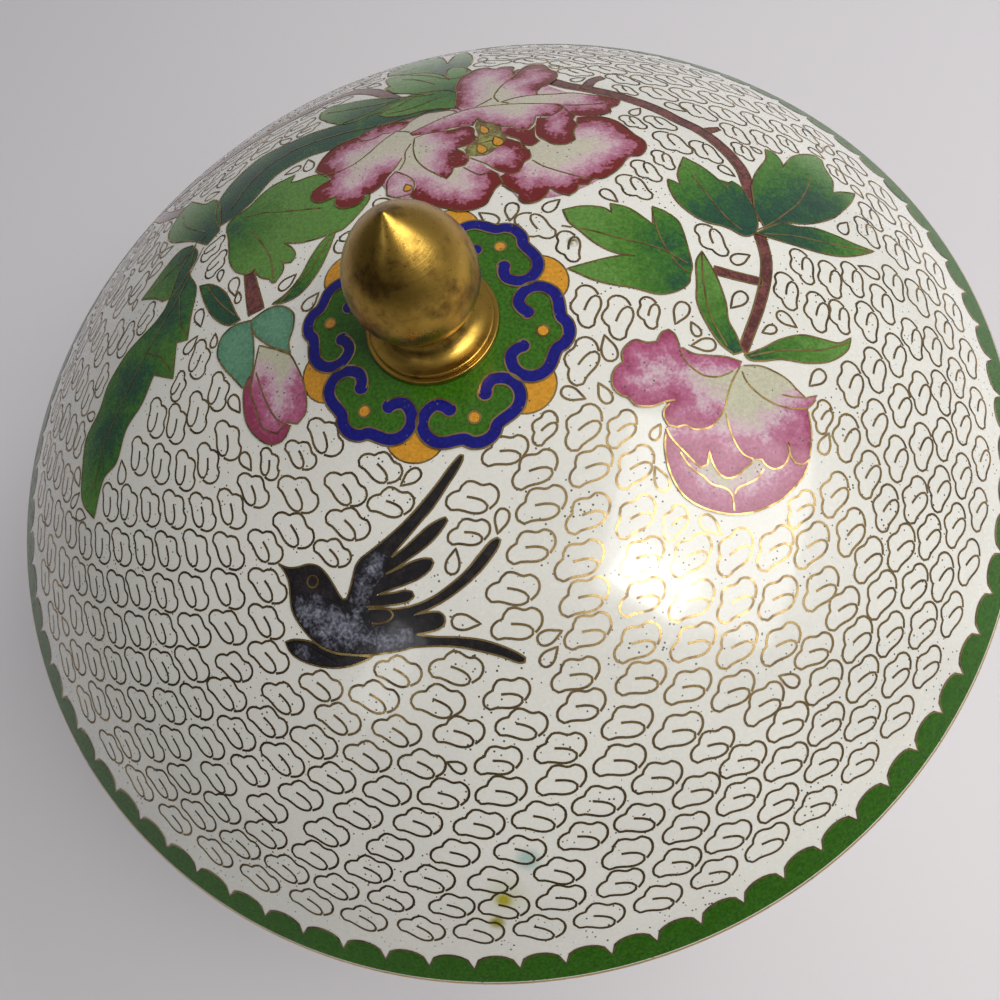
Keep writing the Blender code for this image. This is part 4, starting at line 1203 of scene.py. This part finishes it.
lid_ground = GroundMap((-MAP_EDGE, -MAP_EDGE), (MAP_EDGE, MAP_EDGE))
lid_shapes = upper_outlines + [cell[0] for cell in lower_cells] + bud_outlines + leaf_outlines
lid_shapes += stem_outlines + calyx_outlines + swallow_outlines + [heart_outline, upper_back[0]]
lid_shapes += petals + bands + [circle(COLLAR_CLEAR * COLLAR_RADIUS, 60)]
for shape in lid_shapes:
    lid_ground.fill(shape)
border_cells = numpy.indices(lid_ground.cells.shape) * lid_ground.grid - MAP_EDGE
lid_ground.cells |= numpy.hypot(border_cells[0], border_cells[1]) > SCALLOP_PEAK
lid_ground.grow(1)
lid_spots = []
row_radii = [SPHERE * math.sin((FIRST_ROW_RUN - CLOUD_ROW * row) / SPHERE) for row in range(CLOUD_ROWS)]
row_counts = [round(math.tau * radius / CLOUD_PITCH) for radius in row_radii]
row_angles = nested_rows(math.radians(FIRST_CLOUD_TURN), row_counts, random.Random(LID_ROW_SEED))
for radius, angles in zip(row_radii, row_angles):
    slope = math.sqrt(1.0 - (radius / SPHERE) ** 2)
    for angle in angles:
        inward = (-math.cos(angle) * slope, -math.sin(angle) * slope)
        lid_spots.append((on_circle(angle, radius), (-math.sin(angle), math.cos(angle)), inward))
lid_cloud_lines = cloud_ground(lid_spots, lid_ground, LID_CLOUD_SEED)
lid_clouds = strips("lid_clouds", lid_cloud_lines, lid_surface, CLOUD_WIRE, 0.06, wires)
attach(lid_clouds, "root")

# Enamel picture of the bowl's side
# The side has the same cloud ground, two green scalloped borders, and four sprays in turn: a large one with
# the open peony and its foliage, and a small one with the round peony. All of it is in keeping and plainer.
SIDE_LENGTH = math.tau * RIM_RADIUS
SPRAYS = 4
# Where the middle of the lid's drawing falls for a spray, along and down, and the share of its size
LARGE_SPRAY, SMALL_SPRAY = (12.0, 73.0, 0.58), (-45.0, 28.5, 0.68)
# The numbers of the stems that a spray takes from the lid
LARGE_STEMS, SMALL_STEMS = [7], [1, 3, 4]
BOWL_WIRE = 0.42
SIDE_ROW_SEED, SIDE_CLOUD_SEED = 5, 11
SPILL = 70.0  # how far the map of the side runs on past each of its ends
BORDER_CLEAR, FIRST_ROW_CLEAR, LAST_ROW_CLEAR = 0.6, 4.4, 3.6
side_profile = [(RIM_RADIUS, BOWL_RIM_Z)] + outer_wall[::-1]
side_radius, side_height = numpy.array(side_profile).transpose()
side_steps = numpy.hypot(numpy.diff(side_radius), numpy.diff(side_height))
side_run = numpy.concatenate([[0.0], numpy.cumsum(side_steps)])
side_slope = numpy.arctan2(numpy.gradient(side_radius, side_run), -numpy.gradient(side_height, side_run))


def bowl_surface(along, down):
    """The point and the outward direction on the bowl's side: millimetres round the rim and down from it."""
    angle = along / RIM_RADIUS - 0.5 * math.pi
    curves = (side_radius, side_height, side_slope)
    radius, height, slope = (float(numpy.interp(down, side_run, curve)) for curve in curves)
    point = Vector((*on_circle(angle, radius), height)) * MM
    return point, Vector((*on_circle(angle, math.cos(slope)), math.sin(slope)))


def set_down(outlines, along, down, size):
    """Outlines of the lid's drawing moved to the side of the bowl."""
    return [[(along + x * size, down - y * size) for x, y in outline] for outline in outlines]


def set_cells(cells, along, down, size):
    """Cells of the lid's drawing moved to the side of the bowl."""
    moved = []
    for outline, edge, start in cells:
        new_outline = set_down([outline], along, down, size)[0]
        moved.append((new_outline, set_down([edge], along, down, size)[0] if edge else None, start))
    return moved


# The numbers of the leaves on the picture's left, without the topmost one, and on its right
left_leaves = [number for number, cell in enumerate(leaf_cells) if number and cell[0][0][0] < 32.0]
right_leaves = [number for number, cell in enumerate(leaf_cells) if cell[0][0][0] >= 34.0]
flower_parts, round_parts, leaf_parts, stem_parts, calyx_parts, heart_parts = [], [], [], [], [], []
flower_lines, leaf_lines, stem_lines, stamen_lines = [], [], [], []
for number in range(SPRAYS):
    large = number % 2 == 0
    along, down, size = LARGE_SPRAY if large else SMALL_SPRAY
    place = (SIDE_LENGTH * number / SPRAYS + along, down, size)
    leaves, stems = (left_leaves, LARGE_STEMS) if large else (right_leaves, SMALL_STEMS)
    if large:
        flower_parts += set_cells([upper_back] + upper_cells, *place)
        round_parts += set_cells(bud_cells, *place)
        heart_parts += set_cells(plain_cells([heart_outline]), *place)
        calyx_parts += set_cells(calyx_cells, *place)
        flower_lines += single_lines(set_down(upper_outlines[::-1] + bud_outlines[::-1], *place), 0.7)
        flower_lines += set_down(calyx_outlines, *place)
        stamen_lines += set_down(stamen_outlines, *place)
    else:
        round_parts += set_cells(lower_cells, *place)
        flower_lines += single_lines(set_down(lower_lines, *place), 0.7)
    leaf_parts += set_cells([leaf_cells[k] for k in leaves], *place)
    leaf_lines += single_lines(set_down([leaf_outlines[k] for k in leaves][::-1], *place), 0.5)
    stem_parts += set_cells([stem_cells[k] for k in stems], *place)
    stem_lines += set_down([stem_outlines[k] for k in stems], *place)
side_shapes = [cell[0] for cell in flower_parts + round_parts + leaf_parts + stem_parts + calyx_parts]
foot_run = float(numpy.interp(-foot_high, -side_radius, side_run))
# A border's straight line, cusps and peaks, in millimetres down the side
TOP_BORDER = (BOWL_BAND + 0.4, BOWL_BAND + 3.2, BOWL_BAND + 6.0)
FOOT_BORDER = (foot_run - 3.0, foot_run - 6.5, foot_run - 9.3)
side_ground = GroundMap((-SPILL, 0.0), (SIDE_LENGTH + SPILL, foot_run + 10.0))
for shape in side_shapes:
    for turn in (-1, 0, 1):
        side_ground.fill([(x + turn * SIDE_LENGTH, y) for x, y in shape])
side_ground.grow(1)
down_cells = numpy.arange(side_ground.cells.shape[1]) * side_ground.grid
in_rim_border = down_cells < TOP_BORDER[2] + BORDER_CLEAR
in_foot_border = down_cells > FOOT_BORDER[2] - BORDER_CLEAR
side_ground.cells |= (in_rim_border | in_foot_border)[None, :]
side_spots = []
side_rows = numpy.arange(TOP_BORDER[2] + FIRST_ROW_CLEAR, FOOT_BORDER[2] - LAST_ROW_CLEAR, CLOUD_ROW)
shrinks = [RIM_RADIUS / float(numpy.interp(down, side_run, side_radius)) for down in side_rows]
side_counts = [round(SIDE_LENGTH / shrink / CLOUD_PITCH) for shrink in shrinks]
side_angles = nested_rows(0.0, side_counts, random.Random(SIDE_ROW_SEED))
for down, shrink, angles in zip(side_rows, shrinks, side_angles):
    for angle in angles:
        side_spots.append(((angle % math.tau * RIM_RADIUS, float(down)), (shrink, 0.0), (0.0, -1.0)))
side_lines = cloud_ground(side_spots, side_ground, SIDE_CLOUD_SEED)
bowl_parts = []
for name, levels, count in (("rim", TOP_BORDER, SCALLOPS), ("foot", FOOT_BORDER, SCALLOPS // 2)):
    scallops = [(turn * RIM_RADIUS, run) for turn, run in scalloped(count, levels[1], levels[2])]
    straight = [(along, levels[0]) for along, run in scallops]
    band = band_between("bowl_%s_border" % name, scallops, straight, bowl_surface, 0.05, border_green)
    edges = [scallops + [scallops[0]], straight + [straight[0]]]
    edge_wires = strips("bowl_%s_border_wires" % name, edges, bowl_surface, BORDER_WIRE, WIRE_LIFT, wires)
    bowl_parts += [band, edge_wires]
bowl_parts += [
    patches("bowl_stems", stem_parts, bowl_surface, 0.06, stem_enamel, grid=2.5),
    strips("bowl_stem_wires", stem_lines, bowl_surface, BOWL_WIRE, 0.13, wires),
    patches("bowl_leaves", leaf_parts, bowl_surface, 0.12, leaf_enamel, layer=0.002, grid=2.5),
    strips("bowl_leaf_wires", leaf_lines, bowl_surface, BOWL_WIRE, 0.22, wires),
    patches("bowl_calyx", calyx_parts, bowl_surface, 0.20, calyx_enamel, grid=2.5),
    patches("bowl_flowers", flower_parts, bowl_surface, 0.22, petal_enamel, layer=0.002, grid=2.5),
    patches("bowl_round_flowers", round_parts, bowl_surface, 0.22, pink_enamel, layer=0.002, grid=2.5),
    patches("bowl_hearts", heart_parts, bowl_surface, 0.34, heart_enamel, grid=2.5),
    strips("bowl_flower_wires", flower_lines, bowl_surface, BOWL_WIRE, 0.36, wires),
    patches("bowl_stamens", plain_cells(stamen_lines), bowl_surface, 0.37, amber),
    strips("bowl_stamen_wires", stamen_lines, bowl_surface, FINE_WIRE, 0.39, wires),
    strips("bowl_clouds", side_lines, bowl_surface, CLOUD_WIRE, 0.08, wires),
]
for thing in bowl_parts:
    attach(thing, "root")

# Finial
# One piece of turned brass: an acorn bud with a soft ridge where its point begins, an undercut neck, a cove,
# a fine bead and a thin flange on the collar. It is polished bright, with brown tarnish left in streaks.
FINIAL_HEIGHT, FLANGE_RADIUS, FLANGE_THICKNESS, FLANGE_EDGE = 34.2, 13.7, 0.9, 0.3
BEAD_RADIUS, BEAD_SECTION, NECK_RADIUS, NECK_HEIGHT = 12.4, 0.45, 7.8, 6.2
BUD_RADIUS, BUD_HEIGHT, BUD_POINT, BUD_TIP = 12.6, 15.8, 2.15, 0.985
BUD_STEPS, HOLLOW_STEPS, SEAT_STEPS, FINIAL_SIDES = 28, 12, 4, 128
finial_profile = [(0.0, FINIAL_HEIGHT)]
for step in range(BUD_STEPS + 1):
    share = BUD_TIP * (1.0 - step / BUD_STEPS)
    radius = BUD_RADIUS * (1.0 - share**BUD_POINT)
    finial_profile.append((radius, BUD_HEIGHT + (FINIAL_HEIGHT - BUD_HEIGHT) * share))
for step in range(1, HOLLOW_STEPS + 1):
    share = step / HOLLOW_STEPS
    radius = BUD_RADIUS - (BUD_RADIUS - NECK_RADIUS) * share**2
    finial_profile.append((radius, BUD_HEIGHT - (BUD_HEIGHT - NECK_HEIGHT) * share))
cove_low = FLANGE_THICKNESS + 2.0 * BEAD_SECTION
for step in range(1, HOLLOW_STEPS + 1):
    turn = 0.5 * math.pi * step / HOLLOW_STEPS
    radius = BEAD_RADIUS - (BEAD_RADIUS - NECK_RADIUS) * math.cos(turn)
    finial_profile.append((radius, NECK_HEIGHT - (NECK_HEIGHT - cove_low) * math.sin(turn)))
finial_profile += rounded((BEAD_RADIUS, FLANGE_THICKNESS + BEAD_SECTION), BEAD_SECTION, 75.0, 6, -150.0)
flange_corner = (FLANGE_RADIUS - FLANGE_EDGE, FLANGE_THICKNESS - FLANGE_EDGE)
finial_profile += rounded(flange_corner, FLANGE_EDGE, 90.0, 4, -90.0)
finial_profile = [(radius, DOME_TOP_Z + height) for radius, height in finial_profile]
for step in range(SEAT_STEPS + 1):
    radius = FLANGE_RADIUS * (1.0 - step / SEAT_STEPS)
    finial_profile.append((radius, SPHERE_Z + math.sqrt(SPHERE**2 - radius**2) + TOUCH_GAP))
finial_brass = turned_brass("finial_brass", (0.52, 0.32, 0.062), (0.14, 0.08, 0.02), 0.30, 0.13, 0.00005)
finial = turned("finial_turned", finial_profile, FINIAL_SIDES, [finial_brass])
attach(finial, "root")
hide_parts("finial")

# Floor, light and camera
# A plain pale table top under soft light from the right in front, with a smaller lamp that shines in the
# enamel there and a weak one from the left. The camera looks down on the lid from close by, as in the photo.
FLOOR_SIZE = 4.0
LID_FRONT = (0.02, -0.065, 0.138)
CAMERA_PLACE, FOCAL_LENGTH, SENSOR_WIDTH = (0.0, -0.090514, 0.283226), 28.08, 36.0
# The ways in which the picture's right and lower sides and its middle lie from the camera
PICTURE_RIGHT = Vector((0.9121697, -0.3790659, -0.1557417))
PICTURE_DOWN = Vector((-0.4095864, -0.8558933, -0.3157304))
PICTURE_AHEAD = Vector((-0.0136157, 0.3517893, -0.9359802))
BRIGHT_SIDE, ROOM_DARK, ROOM_BRIGHT, ROOM_SEEN = (0.78, 0.38, 0.50), 0.04, 0.30, 0.52


def area_light(name, place, target, size, power, colour):
    """A rectangular soft light aimed at a point, with its size in metres and its power in watts."""
    lamp = bpy.data.lights.new(name, "AREA")
    lamp.shape = "RECTANGLE"
    lamp.size, lamp.size_y = size
    lamp.energy = power
    lamp.color = colour
    thing = bpy.data.objects.new(name, lamp)
    bpy.context.scene.collection.objects.link(thing)
    thing.location = place
    thing.rotation_euler = (Vector(target) - Vector(place)).to_track_quat("-Z", "Y").to_euler()
    return thing


table, tree, shader, place = new_material("table_top", 0.5)
table_colour = mix_colour(tree, noise(tree, place, 3.0, 3.0), (0.74, 0.72, 0.755), (0.79, 0.77, 0.80))
tree.links.new(table_colour, shader.inputs["Base Color"])
floor_build = bmesh.new()
bmesh.ops.create_grid(floor_build, x_segments=1, y_segments=1, size=FLOOR_SIZE)
floor = new_object("floor", floor_build, [table])

area_light("key_light", (0.39, -0.62, 1.16), LID_FRONT, (0.20, 0.34), 2.0, (1.0, 0.96, 0.88))
area_light("left_light", (-0.71, -0.47, 1.04), LID_FRONT, (0.16, 0.40), 0.35, (0.93, 0.96, 1.0))
window = area_light("window", (1.20, 0.30, 0.92), (0.0, 0.0, 0.08), (0.7, 0.7), 6.0, (1.0, 0.99, 0.98))
window.visible_glossy = False
area_light("front_fill", (0.74, -0.52, 1.20), (0.0, 0.0, 0.10), (0.9, 0.9), 10.2, (1.0, 0.985, 0.94))

# A pale room round the table, brighter towards one side
world = bpy.data.worlds.new("soft_room")
bpy.context.scene.world = world
world.use_nodes = True
sky = world.node_tree
room = sky.nodes["Background"]
room.inputs["Color"].default_value = (0.96, 0.95, 1.0, 1.0)
towards = add_node(sky, "ShaderNodeVectorMath", {1: BRIGHT_SIDE}, operation="DOT_PRODUCT")
sky.links.new(sky.nodes.new("ShaderNodeTexCoord").outputs["Generated"], towards.inputs[0])
seen = add_node(sky, "ShaderNodeMix")
sky.links.new(sky.nodes.new("ShaderNodeLightPath").outputs["Is Camera Ray"], seen.inputs[0])
sky.links.new(reach(sky, towards.outputs["Value"], -0.8, 0.9, ROOM_DARK, ROOM_BRIGHT), seen.inputs[2])
seen.inputs[3].default_value = ROOM_SEEN
sky.links.new(seen.outputs[0], room.inputs["Strength"])
bpy.context.scene.view_settings.view_transform = "Standard"

lens = bpy.data.cameras.new("camera")
lens.lens = FOCAL_LENGTH
lens.sensor_width = SENSOR_WIDTH
lens.clip_start = 0.01
camera = bpy.data.objects.new("camera", lens)
bpy.context.scene.collection.objects.link(camera)
camera.location = CAMERA_PLACE
camera.rotation_euler = Matrix((PICTURE_RIGHT, -PICTURE_DOWN, -PICTURE_AHEAD)).transposed().to_euler()
bpy.context.scene.camera = camera
